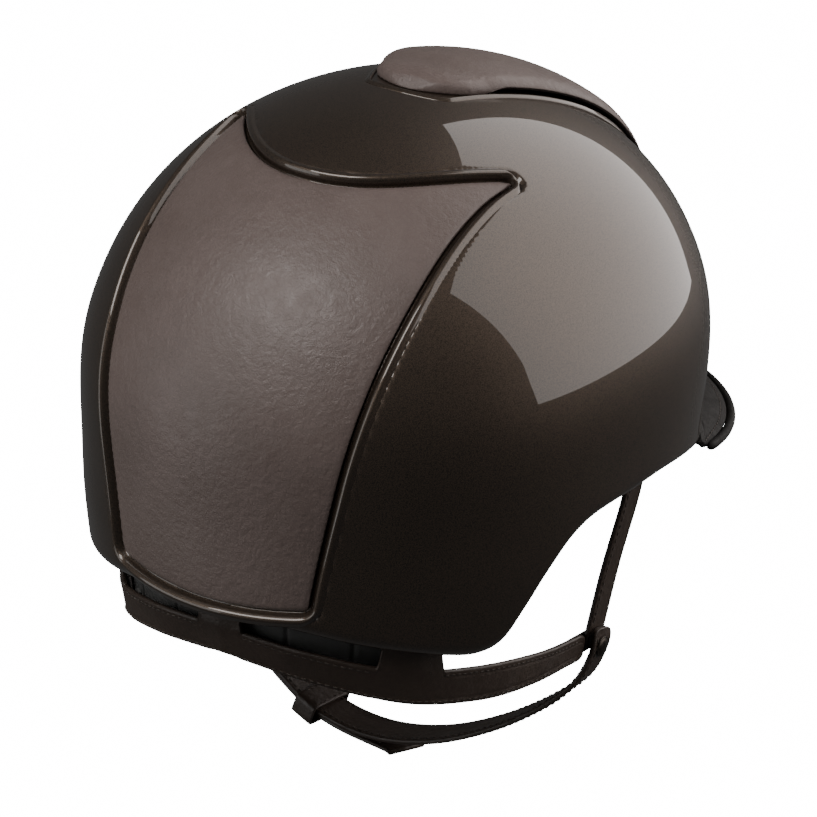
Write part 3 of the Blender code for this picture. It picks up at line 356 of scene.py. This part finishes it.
# ---------------------------------------------------------------- foam liner, pads (closed domes with rounded lower edges)
def soft_dome(name, off_o, off_i, z_fn, mat, rep, nphi=160, nth=60, t0=0.0, top_fn=None, puff=0.0, ribs=None, relief=None):
    phi = np.linspace(0, 360, nphi, endpoint=False); mid = (off_o + off_i) / 2; th1 = theta_for(phi, z_fn(phi), mid)
    ta = top_fn(phi) if top_fn is not None else np.zeros(nphi); f = np.linspace(0 if top_fn is not None else 1/nth, 1, nth)
    PH, Fm = np.meshgrid(phi, f, indexing="ij"); TH = ta[:, None] + (th1 - ta)[:, None] * Fm; d = polar(PH, TH); R = radial(d)
    half = (off_o - off_i) / 2; sl = np.radians(th1[:, None] - TH) * R; su = np.radians(TH - ta[:, None]) * R if top_fn is not None else sl * 0 + 99
    e = np.minimum(sl, su); rr = min(half, 3.5); rnd = np.where(e < rr, rr - np.sqrt(np.maximum(0, rr*rr - (rr - e)**2)), 0)
    pf = puff * (1 - np.exp(-e / 6.0)); q = 0 if ribs is None else ribs(PH, TH, e)
    o = off_o - rnd * 0.9; i = off_i + rnd * 0.9 - pf + q
    A = at(d, o); Bp = at(d, i); V = [A.reshape(-1, 3), Bp.reshape(-1, 3)]; B = nphi * nth
    F = grid_faces(nphi, nth, wrap_n=True) + grid_faces(nphi, nth, B, True, wrap_n=True)
    if top_fn is None:
        z = np.array([0, 0, 1.0]); V.append(np.stack([at(z, off_o), at(z, off_i - puff)]))
        for k in range(nphi): F.append((2*B, k*nth, ((k+1) % nphi)*nth)); F.append((2*B+1, B + ((k+1) % nphi)*nth, B + k*nth))
    for k in range(nphi):
        j = (k+1) % nphi; F.append((k*nth + nth-1, j*nth + nth-1, B + j*nth + nth-1, B + k*nth + nth-1))
        if top_fn is not None: F.append((k*nth, B + k*nth, B + j*nth, j*nth))
    return mesh(name, np.concatenate(V), F, mat, replaces=rep)
def eps_ribs(PH, TH, e):
    return 1.6 * sst((np.cos(np.radians(PH * 6)) - 0.55) / 0.35) * sst((TH - 14) / 10) * sst(e / 10)
soft_dome("foam_liner_body", -5.3, -19.6, lambda p: rim_z(p) + 13.2, M_FOAM, ("foam_liner",), nphi=200, nth=70, ribs=lambda a, b, c: eps_ribs(a, b, c))
def quilt(PH, TH, e):
    return 1.1 * np.exp(-((np.abs(((PH + 15) % 30) - 15)) / 1.1)**2) * sst(e / 3) * sst((TH - 12) / 8) + 0.9 * np.exp(-((TH - 30) / 1.3)**2) + 0.9 * np.exp(-((TH - 12) / 1.3)**2)
cp = soft_dome("crown_comfort_pad", -21.2, -27.0, lambda p: 59.0 + 0 * p, M_FAB, ("liner_crown_pad",), nphi=216, nth=80, puff=0.8, ribs=quilt)
def ring_low(p): return rim_z(p) + 2.0 - 4.5 * sst((70 - np.abs((p + 180) % 360 - 180)) / 25)
def ring_top(p): return theta_for(p, 12.0 - 14 * sst((np.abs((p + 180) % 360 - 180) - 60) / 90), -24.0)
def band_seams(PH, TH, e):
    return 1.2 * np.exp(-((np.abs(((PH + 18) % 36) - 18)) / 0.9)**2) * sst(e / 3) + 0.8 * np.exp(-((e - 7.0) / 0.7)**2)
hb = soft_dome("headband_pad", -21.2, -27.6, ring_low, M_FAB, ("liner_headband",), nphi=288, nth=46, top_fn=ring_top, puff=0.8, ribs=band_seams)
def pad_sector(name, p0, p1, z0, z1, oo, oi, mat, rep, seam=True):
    """Small puffed pad on the inside of the foam; corners and edges are rounded."""
    nu, nv = 60, 60; u = np.linspace(-1, 1, nu); U, W = np.meshgrid(u, u, indexing="ij"); k = 0.5
    X = U * np.sqrt(1 - k * 0.35 * W**4); Y = W * np.sqrt(1 - k * 0.35 * U**4); phi = (p0 + p1)/2 + (p1 - p0)/2 * X
    ta, tb = theta_for(phi, np.full(phi.shape, z1), oo), theta_for(phi, np.full(phi.shape, z0), oo); TH = (ta + tb)/2 + (tb - ta)/2 * Y; d = polar(phi, TH)
    e = np.minimum(1 - np.abs(U), 1 - np.abs(W)); rnd = np.sqrt(np.clip(1 - (1 - np.clip(e / 0.16, 0, 1))**2, 0, 1)); T = (oo - oi)
    q = 0.5 * np.exp(-((e - 0.13) / 0.025)**2) if seam else 0
    top = at(d, oo - T * 0.5 + T * 0.5 * rnd); bot = at(d, oo - T * 0.5 - T * 0.5 * rnd + q); V, F = closed_patch(top, bot)
    ob = mesh(name, V, F, mat, replaces=rep); return ob
for nm, c, zl in (("rear_right", 42, 15), ("rear_left", -42, 15), ("front_right", 132, 10), ("front_left", -132, 10)):
    pad_sector("pad_web_" + nm, c - 10.6, c + 10.6, zl + 1.0, 52.0, -21.6, -26.8, M_MESH, ("liner_web_" + nm,))
pad_sector("brow_sweat_pad", 136, 224, -36.0, -13.5, -28.9, -32.0, M_MESH, ("brow_pad",))

# ---------------------------------------------------------------- sweeps, straps and stitching
def frames(P, w0):
    P = np.asarray(P, float); t = nrm(np.gradient(P, axis=0)); w = np.broadcast_to(np.asarray(w0, float), P.shape); w = nrm(w - t * (w * t).sum(1, keepdims=True)); return t, w, nrm(np.cross(t, w))
def cat(ctrl, n):
    P = np.array(ctrl, float); P = np.vstack([2*P[0]-P[1], P, 2*P[-1]-P[-2]]); s = np.linspace(0, len(P) - 3, n); k = np.minimum(s.astype(int), len(P) - 4); t = (s - k)[:, None]
    a, b, c, d = P[k], P[k+1], P[k+2], P[k+3]; return 0.5*((2*b) + (c-a)*t + (2*a-5*b+4*c-d)*t*t + (3*b-a-3*c+d)*t**3)
def rounded_section(hw, ht, r, dome=0.0, k=4):
    """Closed section of a flat strap: half width, half thickness, edge radius, slight crown."""
    pts = []
    for cx, cy, a0 in ((hw - r, ht - r, 0), (-hw + r, ht - r, 90), (-hw + r, -ht + r, 180), (hw - r, -ht + r, 270)):
        if a0 == 90: pts += [(x, ht + dome * (1 - (x / hw)**2)) for x in np.linspace(hw - 2*r, -hw + 2*r, 9)]
        if a0 == 270: pts += [(x, -ht - dome * (1 - (x / hw)**2)) for x in np.linspace(-hw + 2*r, hw - 2*r, 9)]
        for i in range(k + 1): a = math.radians(a0 + 90 * i / k); pts.append((cx + r*math.cos(a), cy + r*math.sin(a)))
    return np.array(pts)
def strap_mesh(P, width, w0, thick, r=0.85, tip=None, dome=0.0):
    """Returns V, F of a strap; width is a number or an array along it; tip is not used."""
    t, w, n = frames(P, w0); W = np.broadcast_to(np.asarray(width, float), (len(P),)).copy(); V = []
    for i in range(len(P)):
        s = rounded_section(W[i]/2, thick/2, min(r, thick/2 - 0.02), dome); V.append(P[i] + w[i]*s[:, :1] + n[i]*s[:, 1:])
    V = np.array(V); n_, m_ = V.shape[:2]; F = grid_faces(n_, m_, wrap_m=True); V = V.reshape(-1, 3)
    F += [tuple(range(m_))[::-1], tuple(n_*m_ - m_ + k for k in range(m_))]; return V, F, (t, w, n)
def merge(parts_):
    V, F, b = [], [], 0
    for v, f in parts_: V.append(v); F += [tuple(i + b for i in q) for q in f]; b += len(v)
    return np.concatenate(V), F
def stitches(P, T, Nn, length=2.1, pitch=3.0, rad=0.26, sink=0.06):
    """Lock stitches along a line: P points, T tangents (not used), Nn outward normals."""
    s = np.concatenate([[0], np.cumsum(np.linalg.norm(np.diff(P, axis=0), axis=1))]); parts_ = []
    for c in np.arange(pitch * 0.6, s[-1] - pitch * 0.4, pitch):
        ts = np.linspace(c - length/2, c + length/2, 7); Q = np.stack([np.interp(ts, s, P[:, k]) for k in range(3)], -1)
        nn = nrm(np.stack([np.interp(ts, s, Nn[:, k]) for k in range(3)], -1)); tt = nrm(np.gradient(Q, axis=0)); bb = np.cross(tt, nn); a = np.linspace(-1, 1, 7)
        prof = np.sqrt(np.maximum(0.02, 1 - np.abs(a)**3)); hh = rad * 0.95 * (1 - a**4) - sink; V = []
        for i in range(7):
            ang = np.linspace(0, 2*np.pi, 8, endpoint=False); V.append(Q[i] + nn[i]*hh[i] + rad*prof[i]*(np.cos(ang)[:, None]*bb[i] + 0.72*np.sin(ang)[:, None]*nn[i]))
        V = np.array(V).reshape(-1, 3); F = grid_faces(7, 8, wrap_m=True) + [tuple(range(8)), tuple(55 - k for k in range(8))]; parts_.append((V, F))
    return merge(parts_)
def stitch_piece(name, runs, body="helmet"):
    V, F = merge([stitches(*r) for r in runs]); return mesh(name, V, F, M_THREAD, body=body)
def strap_runs(P, width, w0, thick, inset_=1.9, sides=(1,), dome=0.0, trim=(0, None)):
    t, w, n = frames(P, w0); W = np.broadcast_to(np.asarray(width, float), (len(P),)); out = []; sl = slice(*trim)
    for side in sides:
        for e in (-1, 1):
            off = (W/2 - inset_) * e; f = thick/2 + dome*(1 - (2*off/W)**2); out.append(((P + w*off[:, None] + n*side*f[:, None])[sl], t[sl], (n*side)[sl]))
    return out

# ---------------------------------------------------------------- nape band: one sheet with its three tabs
HALF = cat(((0, 109.5, -75), (-34, 103, -79), (-63, 84, -86.5), (-77, 52, -95), (-83, 18, -101.5), (-82.0, -20.2, -108.6)), 240)
FULL = np.vstack([(HALF * np.array([-1, 1, 1]))[::-1][:-1], HALF])
def band_piece():
    P = FULL; s = np.concatenate([[0], np.cumsum(np.linalg.norm(np.diff(P, axis=0), axis=1))]); s -= s[-1]/2
    P = np.stack([np.interp(np.linspace(s[0], s[-1], 760), s, P[:, k]) for k in range(3)], -1); s = np.linspace(s[0], s[-1], 760)
    t = nrm(np.gradient(P, axis=0)); lean = nrm(np.stack([0*s, 0.35*np.maximum(0, P[:, 1])/110, 1 + 0*s], -1)); wv = nrm(lean - t*(lean*t).sum(1, keepdims=True)); n = nrm(np.cross(t, wv))
    if (n[380] @ np.array([0, 1, 0])) < 0: n = -n
    hw = 0.5 * (11.0 + 4.0 * sst((P[:, 1] + 10) / 60)); phi = np.degrees(np.arctan2(-P[:, 0], P[:, 1]))
    def box(x, a, b, f): return sst((x - a + f)/f) * sst((b + f - x)/f)
    tabh = 19.5 * box(s, -6.0, 6.0, 3.2) + 18.5 * (box(phi, 33.2, 43.6, 2.1) + box(-phi, 33.2, 43.6, 2.1))
    ends = np.minimum(1, (s[-1] - np.abs(s)) / 5.0); hw2 = hw * (0.62 + 0.38*np.sqrt(np.clip(1 - (1 - ends)**2, 0, 1)))
    m = 34; rows = []; T2 = 1.1; r = 0.85
    for side in (1, -1):
        g = []
        for k in range(m + 1):
            q = k / m; y = -hw2 + (2*hw2 + tabh) * q; e = np.minimum(y + hw2, hw2 + tabh - y); rd = np.where(e < r, r - np.sqrt(np.maximum(0, r*r - (r - e)**2)), 0)
            base = P + wv*np.minimum(y, hw2)[:, None] + np.array([0, 0, 1.0])*np.maximum(0, y - hw2)[:, None] * 0.985
            emb = 0.16*np.exp(-((e - 2.9)/0.35)**2)
            g.append(base + n*side*(T2 - rd - emb*(side > 0))[:, None])
        rows.append(np.stack(g, 1))
    V, F = closed_patch(rows[0], rows[1]); mesh("nape_band_leather", V, F, M_STRAP, replaces=("nape_band", "nape_tab_centre", "nape_tab_left", "nape_tab_right"))
    low = P + wv*(-hw + 1.9)[:, None] + n*T2; topl = P + wv*(hw - 1.9)[:, None] + n*T2; runs = [(low[12:-12], t[12:-12], n[12:-12])]
    cuts = np.flatnonzero(np.diff((tabh > 2).astype(int))); seg = np.split(np.arange(760), cuts + 1)
    for sg in seg:
        if len(sg) > 30 and tabh[sg].mean() < 2: sg = sg[(sg > 12) & (sg < 747)]; runs.append((topl[sg], t[sg], n[sg]))
    # the stitching turns up each tab
    for c in (-1, 1):
        for a in ((-4.4, 4.4) if c == 1 else ()):
            i = int(np.argmin(np.abs(s - a))); z = np.linspace(0, 16, 30); Q = P[i] + wv[i]*(hw[i] - 1.9) + np.array([0, 0, 1.0])*z[:, None] + n[i]*T2; runs.append((Q, np.tile([0, 0, 1.0], (30, 1)), np.tile(n[i], (30, 1))))
        for a in (34.8, 42.2):
            i = int(np.argmin(np.abs(phi - c*a))); z = np.linspace(0, 14, 28); Q = P[i] + wv[i]*(hw[i] - 1.9) + np.array([0, 0, 1.0])*z[:, None] + n[i]*T2; runs.append((Q, np.tile([0, 0, 1.0], (28, 1)), np.tile(n[i], (28, 1))))
    stitch_piece("nape_band_stitching", runs)
    # soft lining on the inner face
    ql = np.linspace(0, 1, 13); lin = [P + wv*((-hw + 1.5) + (2*hw - 3.0)*q)[:, None] - n*(T2 + 0.1 + 0.9*math.sqrt(max(0.0, 1 - (2*q - 1)**4))) for q in ql]
    topg = np.stack(lin, 1)[10:-10]; botg = np.stack([P + wv*((-hw + 1.5) + (2*hw - 3.0)*q)[:, None] - n*(T2 + 0.02) for q in np.linspace(0, 1, 13)], 1)[10:-10]
    V, F = closed_patch(botg, topg); mesh("nape_band_lining", V, F, M_INNER)
    # soft nape pad: hangs inside the rim and closes the gap down to the band
    k = np.flatnonzero(np.abs(phi) < 41.5); ph = phi[k]; zt = rim_z(ph) + 9.0; top_ = at(polar(ph, theta_for(ph, zt, -17.6)), -17.6); bot_ = P[k] - n[k]*4.2 - wv[k]*(hw[k] - 3.2)[:, None]
    q = np.linspace(0, 1, 40); C_ = top_[:, None]*(1 - q)[None, :, None] + bot_[:, None]*q[None, :, None]; endf = np.minimum(1, (41.5 - np.abs(ph))/2.6)[:, None]
    hth = 1.9*np.sqrt(np.clip(1 - np.abs(2*q - 1)**5, 0, 1))[None]*np.sqrt(np.clip(1 - (1 - endf)**2, 0, 1)); hth = hth - 0.75*np.exp(-((((ph[:, None] + 6.9) % 13.8) - 6.9)/0.5)**2)*(hth > 0.8) - 0.5*np.exp(-((q[None] - 0.9)/0.02)**2)*(hth > 0.8)
    nn = n[k][:, None]; V, F = closed_patch(C_ + nn*np.maximum(hth, 0.05)[..., None], C_ - nn*np.maximum(hth, 0.05)[..., None]); npad = mesh("nape_comfort_pad", V, F, M_NAPE_PAINTED_LIGHT)
band_piece()

# ---------------------------------------------------------------- side straps, junctions
for s_, nm in ((-1, "right"), (1, "left")):
    P = cat([(s_*87, -50, -31), (s_*86, -46, -52), (s_*83.5, -37, -80), (s_*82, -27, -112)], 120)
    ends = np.minimum(1, np.arange(120)[::-1] / 9.0); W = 13.0 * (0.55 + 0.45*np.sqrt(1 - (1 - ends)**2))
    V, F, _ = strap_mesh(P, W, (0, 1, 0), 2.2); mesh("side_strap_" + nm + "_leather", V, F, M_STRAP, replaces=("side_strap_" + nm,))
    stitch_piece("side_strap_" + nm + "_stitching", strap_runs(P, W, (0, 1, 0), 2.2, sides=(1, -1), trim=(2, 108)))
    P = cat([(s_*79.7, -31, -110.2), (s_*79.7, -22, -109.2), (s_*79.7, -12, -108.0)], 60); e = np.minimum(np.arange(60), np.arange(60)[::-1]) / 7.0; W = 9.0*(0.5 + 0.5*np.sqrt(1 - (1 - np.minimum(1, e))**2))
    V, F, _ = strap_mesh(P, W, (0, 0, 1), 1.5, r=0.6); mesh("junction_patch_" + nm, V, F, M_INNER, replaces=("strap_junction_" + nm,))
    stitch_piece("junction_patch_" + nm + "_stitching", strap_runs(P, W, (0, 0, 1), 1.5, inset_=1.3, sides=(1, -1), trim=(7, -7)))

def rivet(name, c, axis, R, h, rep, body):
    """Domed rivet head with a rolled rim."""
    prof = [(0.0, h), (0.35*R, h*0.97), (0.6*R, h*0.86), (0.78*R, h*0.66), (0.86*R, h*0.5), (0.9*R, h*0.46), (0.96*R, h*0.5), (R, h*0.34), (R, 0.12*h), (0.93*R, 0.0), (0.0, 0.0)]
    z = Vector(axis).normalized(); x = z.orthogonal().normalized(); y = z.cross(x); V = []; m = 40
    for i in range(m):
        a = 2*math.pi*i/m; dr = x*math.cos(a) + y*math.sin(a)
        for r_, hh in prof: V.append(tuple(Vector(c) + dr*max(r_, 1e-4) + z*hh))
    F = grid_faces(m, len(prof), wrap_n=True); return mesh(name, V, F, M_MET, body=body, replaces=rep, smooth=50)
for s_, nm in ((-1, "right"), (1, "left")):
    rivet("junction_rivet_head_" + nm, (s_*87.2, -27, -110), (s_, 0, 0), 4.2, 1.3, ("junction_rivet_" + nm,), "short_strap")
    rivet("temple_rivet_head_" + nm, (s_*88.6, -49, -36), (s_, 0, 0), 4.0, 1.2, ("temple_rivet_" + nm,), "helmet")

# ---------------------------------------------------------------- chin strap
LONG = ((-85.7, -29.5, -103), (-85.7, -27, -112), (-81.2, -23.5, -124), (-70, -19, -136), (-50, -13.5, -150), (-25, -10, -162), (2, -9.5, -168.5), (28, -11, -167), (50, -14.5, -158), (64, -17.5, -148.5), (69.5, -19.5, -141.5))
NL = 401; LP = cat(LONG, NL); idx = np.arange(NL) / 10.0
LW = 13.0 + 4.0*sst((idx - 2)/10) - 3.0*sst((idx - 34)/6); head_ = np.minimum(1, np.arange(NL)/14.0); LWr = LW*(0.5 + 0.5*np.sqrt(1 - (1 - head_)**2))
V, F, (lt_, lw_, ln_) = strap_mesh(LP, LWr, (0, 1, 0), 2.2)
chin = mesh("chin_strap_leather", V, F, M_STRAP, body=None, replaces=("chin_strap_long", "chin_strap_tab_right"))
chs = stitch_piece("chin_strap_stitching", strap_runs(LP, LW, (0, 1, 0), 2.2, sides=(1, -1), trim=(14, 392)), body=None)
FX = np.array([-83.12, -25.38, -117.81])
for o in (chin, chs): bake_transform(o)
down = -1.0 if ln_[260, 2] > 0 else 1.0
TP = LP[222:372] + ln_[222:372]*down*(2.2 + 0.45); tw = np.full(150, 14.0)
TP = TP + np.array([0, 0, -4.6])*np.exp(-(np.arange(150)/17.0)**1.3)[:, None]; V, F, (tt_, tw_, tn_) = strap_mesh(TP, tw, (0, 1, 0), 2.0)
# angled cut at the free end: slide the end sections along the strap by their width position
Vr = V.reshape(150, -1, 3); across = ((Vr - TP[:, None])*tw_[:, None]).sum(-1); fall = np.exp(-np.arange(150)/16.0)[:, None]
Vr = Vr + tt_[:, None]*((across*0.62 + 1.5)*fall)[..., None]; V = Vr.reshape(-1, 3)
mesh("chin_strap_tail_leather", V, F, M_STRAP, body="long_strap", replaces=("chin_strap_tail",))
stitch_piece("chin_strap_tail_stitching", strap_runs(TP, tw, (0, 1, 0), 2.0, sides=(1, -1), trim=(14, 146)), body="long_strap")
def keeper():
    i = 290; c = (LP[i] + TP[i - 222])/2; t = lt_[i]; w = lw_[i]; n = ln_[i]; V = []; secs = rounded_section(5.4, 0.72, 0.5, 0.05)
    m = 72
    for k in range(m):
        a = 2*math.pi*k/m; ca, sa = math.cos(a), math.sin(a); p = 0.26
        x = (17/2 + 2.2)*np.sign(ca)*abs(ca)**p; y = (2.2 + 2.25)*np.sign(sa)*abs(sa)**p; nx, ny = np.sign(ca)*abs(ca)**(2 - p)/(17/2 + 2.2), np.sign(sa)*abs(sa)**(2 - p)/(2.2 + 2.25); q = math.hypot(nx, ny); nx, ny = nx/q, ny/q
        ctr = c + w*x + n*y; nn = w*nx + n*ny
        for sx, sy in secs: V.append(ctr + t*sx + nn*sy)
    F = grid_faces(m, len(secs), wrap_n=True, wrap_m=True); mesh("strap_keeper_leather", V, F, M_STRAP, body="keeper", replaces=("strap_keeper",))
    runs = []
    for e in (-4.1, 4.1):
        xs = np.linspace(-8, 8, 40); Q = c + t*e + w*xs[:, None] + n*down*(2.2 + 2.25 + 0.74); runs.append((Q, np.tile(w, (40, 1)), np.tile(n*down, (40, 1))))
        Q = c + t*e + w*xs[:, None] - n*down*(2.2 + 2.25 + 0.74); runs.append((Q, np.tile(w, (40, 1)), np.tile(-n*down, (40, 1))))
    stitch_piece("strap_keeper_stitching", runs, body="keeper")
keeper()
SP = cat([(85.7, -29.5, -103), (85.7, -27, -112), (84.6, -25.6, -117), (79.9, -24.2, -121.3)], 90); e = np.minimum(1, np.arange(90)/10.0)
V, F, _ = strap_mesh(SP, 13.0*(0.5 + 0.5*np.sqrt(1 - (1 - e)**2)), (0, 1, 0), 2.2); mesh("chin_strap_short_leather", V, F, M_STRAP, body="short_strap", replaces=("chin_strap_short",))
stitch_piece("chin_strap_short_stitching", strap_runs(SP, 13.0, (0, 1, 0), 2.2, sides=(1, -1), trim=(10, 86)), body="short_strap")

# ---------------------------------------------------------------- peak
PEAK_W, PEAK_Y, PEAK_L, PEAK_T = 89.0, 94.0, 93.0, 3.4
def peak_out(b, grow=0.0):
    a = np.radians(88*b); x = -(PEAK_W + grow)*np.sin(a); y = -(PEAK_Y + (PEAK_L + grow)*np.cos(a)); return np.stack([x, y, -47.5 - 0.13*(-y - 95) + 6.0*np.cos(a)**2], -1)
def peak_in(b):
    phi = 180 - 44.5*b; return at(polar(phi, theta_for(phi, -40.5 - 3.0*b*b)), 0.75)
def peak_pt(b, t):
    p = peak_in(b)*(1 - t)[..., None] + peak_out(b)*t[..., None]; p[..., 2] += 2.2*np.sin(np.pi*t)*(1 - b*b); return p
def build_peak():
    nu, nv = 220, 60; b = np.linspace(-1, 1, nu); t = np.linspace(0, 1, nv); B, Tt = np.meshgrid(b, t, indexing="ij"); M = peak_pt(B, Tt); M[..., 2] -= PEAK_T/2
    du = np.gradient(M, axis=0); dv = np.gradient(M, axis=1); n = nrm(np.cross(du, dv)); n *= np.sign(n[..., 2:3])
    L_ = np.linalg.norm(peak_out(b) - peak_in(b), axis=1)[:, None]; e = np.minimum((1 - Tt)*L_, np.minimum(Tt*L_ + 1, np.minimum(nu - 1 - np.arange(nu), np.arange(nu))[:, None]*1.3 + 0.0)); r = 1.5
    rd = np.where(e < r, r - np.sqrt(np.maximum(0, r*r - (r - e)**2)), 0); h = PEAK_T/2 - rd; groove = 0.22*np.exp(-((e - 4.6)/0.5)**2)
    V, F = closed_patch(M + n*(h - groove)[..., None], M - n*h[..., None]); mesh("peak_leather_painted_shade", V, F, M_PEAK_PAINTED_SHADE, replaces=("peak",))
    runs = []
    bb = np.linspace(-0.97, 0.97, 400); tt = 1 - 4.6/np.linalg.norm(peak_out(bb) - peak_in(bb), axis=1).clip(9); Q = peak_pt(bb, tt); Q[:, 2] -= PEAK_T/2
    nn = np.stack([np.interp((bb + 1)/2*(nu - 1), np.arange(nu), n[:, int(nv*0.88), k]) for k in range(3)], -1); runs.append((Q + nn*(PEAK_T/2 - 0.18), nn, nn)); runs.append((Q - nn*(PEAK_T/2), nn, -nn)); stitch_piece("peak_stitching", runs)
build_peak()
def tube_mesh(P, r, m=18, squash_=1.0):
    t, w, n = frames(P, (0, 0, 1)); a = np.linspace(0, 2*np.pi, m, endpoint=False); f = np.minimum(1, np.minimum(np.arange(len(P)), np.arange(len(P))[::-1])/5.0); f = np.sqrt(np.clip(1 - (1 - f)**2, 0.02, 1))
    V = P[:, None] + (r*f)[:, None, None]*(np.cos(a)[None, :, None]*w[:, None]*squash_ + np.sin(a)[None, :, None]*n[:, None]); F = grid_faces(len(P), m, wrap_m=True) + [tuple(range(m)), tuple(len(P)*m - 1 - k for k in range(m))]
    return V.reshape(-1, 3), F
# the piping takes the peak leather colour with its painted shade
bb = np.linspace(-0.985, 0.985, 300); PT = peak_out(bb, 2.3); PT[:, 2] -= PEAK_T/2; V, F = tube_mesh(PT, 2.0)
mesh("peak_piping", V, F, M_PEAK_PAINTED_SHADE, replaces=("peak_edge_trim",))

# rim binding: a soft folded strip inside the rolled rim
phi = np.linspace(0, 360, 360, endpoint=False); a = np.linspace(0, 2*np.pi, 20, endpoint=False); rows = []
for q in a:
    x = 1.05*np.sign(np.cos(q))*abs(np.cos(q))**0.6; z = 2.25*np.sign(np.sin(q))*abs(np.sin(q))**0.8
    rows.append(at(polar(phi, theta_for(phi, rim_z(phi) + 4.9 + z)), -10.75 + x))
R = np.stack(rows, 1); mesh("rim_binding_strip", R.reshape(-1, 3), grid_faces(360, 20, wrap_n=True, wrap_m=True), M_RUB, replaces=("rim_binding",))

# carried-over CAD nodes take procedural materials
def remat(node, m):
    o = frame["nodes"][node] if isinstance(frame["nodes"], dict) else bpy.data.objects[node]
    o = o if hasattr(o, "material_slots") else bpy.data.objects[node]
    for s in o.material_slots: s.material = m
for nname, m in (("crown_insert_carrier", M_PLAS), ("peak_screw_left", M_MET), ("peak_screw_right", M_MET), ("buckle_socket", M_PLAS), ("buckle_tongue", M_PLAS)):
    remat(nname, m)

# ---------------------------------------------------------------- floor, lights, world
bpy.ops.mesh.primitive_plane_add(size=24.0, location=(0, 0, -2.6)); fl = bpy.context.object; fl.name = "studio_floor"
mf, nt, b = nodes("floor_paper"); b.inputs["Base Color"].default_value = (0.92, 0.92, 0.92, 1); b.inputs["Roughness"].default_value = 0.9
b.inputs["Emission Color"].default_value = (1, 1, 1, 1); b.inputs["Emission Strength"].default_value = 16.0
fl.data.materials.append(mf); fl.visible_glossy = False; fl.visible_diffuse = False
def area(name, loc, axis_x, axis_y, sx, sy, power, col=(1, 1, 1), glossy=True):
    l = bpy.data.lights.new(name, "AREA"); l.shape = "RECTANGLE"; l.size = sx; l.size_y = sy; l.energy = power; l.color = col
    o = bpy.data.objects.new(name, l); C.objects.link(o); x = Vector(axis_x).normalized(); y = Vector(axis_y); y = (y - x*y.dot(x)).normalized(); z = x.cross(y)
    if z.dot(Vector(loc)) < 0: x = -x; z = x.cross(y)
    o.matrix_world = Matrix.Translation(Vector(loc)) @ Matrix((x, y, z)).transposed().to_4x4(); o.visible_glossy = glossy; return o
area("softbox", (-0.70, -0.78, 0.595), (1.615, -1.378, -0.26), (1.055, 0.30, 1.42), 2.15, 1.75, 28, (1.0, 0.94, 0.91))
area("top_fill", (0.30, 1.00, 1.30), (1, 0, 0), (0, 1, -0.75), 1.1, 0.9, 24, (1.0, 0.97, 0.95))
area("rear_fill", (0.95, 1.25, 0.10), (1.25, -0.95, 0), (0, 0, 1), 1.0, 1.3, 7)
w = bpy.data.worlds.new("studio"); bpy.context.scene.world = w; w.use_nodes = True; wt = w.node_tree; dim = wt.nodes["Background"]; dim.inputs[0].default_value = (1, 1, 1, 1); dim.inputs[1].default_value = 0.075
back = wt.nodes.new("ShaderNodeBackground"); back.inputs[0].default_value = (1, 1, 1, 1); back.inputs[1].default_value = 16.0
lpn = wt.nodes.new("ShaderNodeLightPath"); wm = wt.nodes.new("ShaderNodeMixShader"); wt.links.new(lpn.outputs["Is Camera Ray"], wm.inputs[0]); wt.links.new(dim.outputs[0], wm.inputs[1]); wt.links.new(back.outputs[0], wm.inputs[2])
wt.links.new(wm.outputs[0], wt.nodes["World Output"].inputs["Surface"])

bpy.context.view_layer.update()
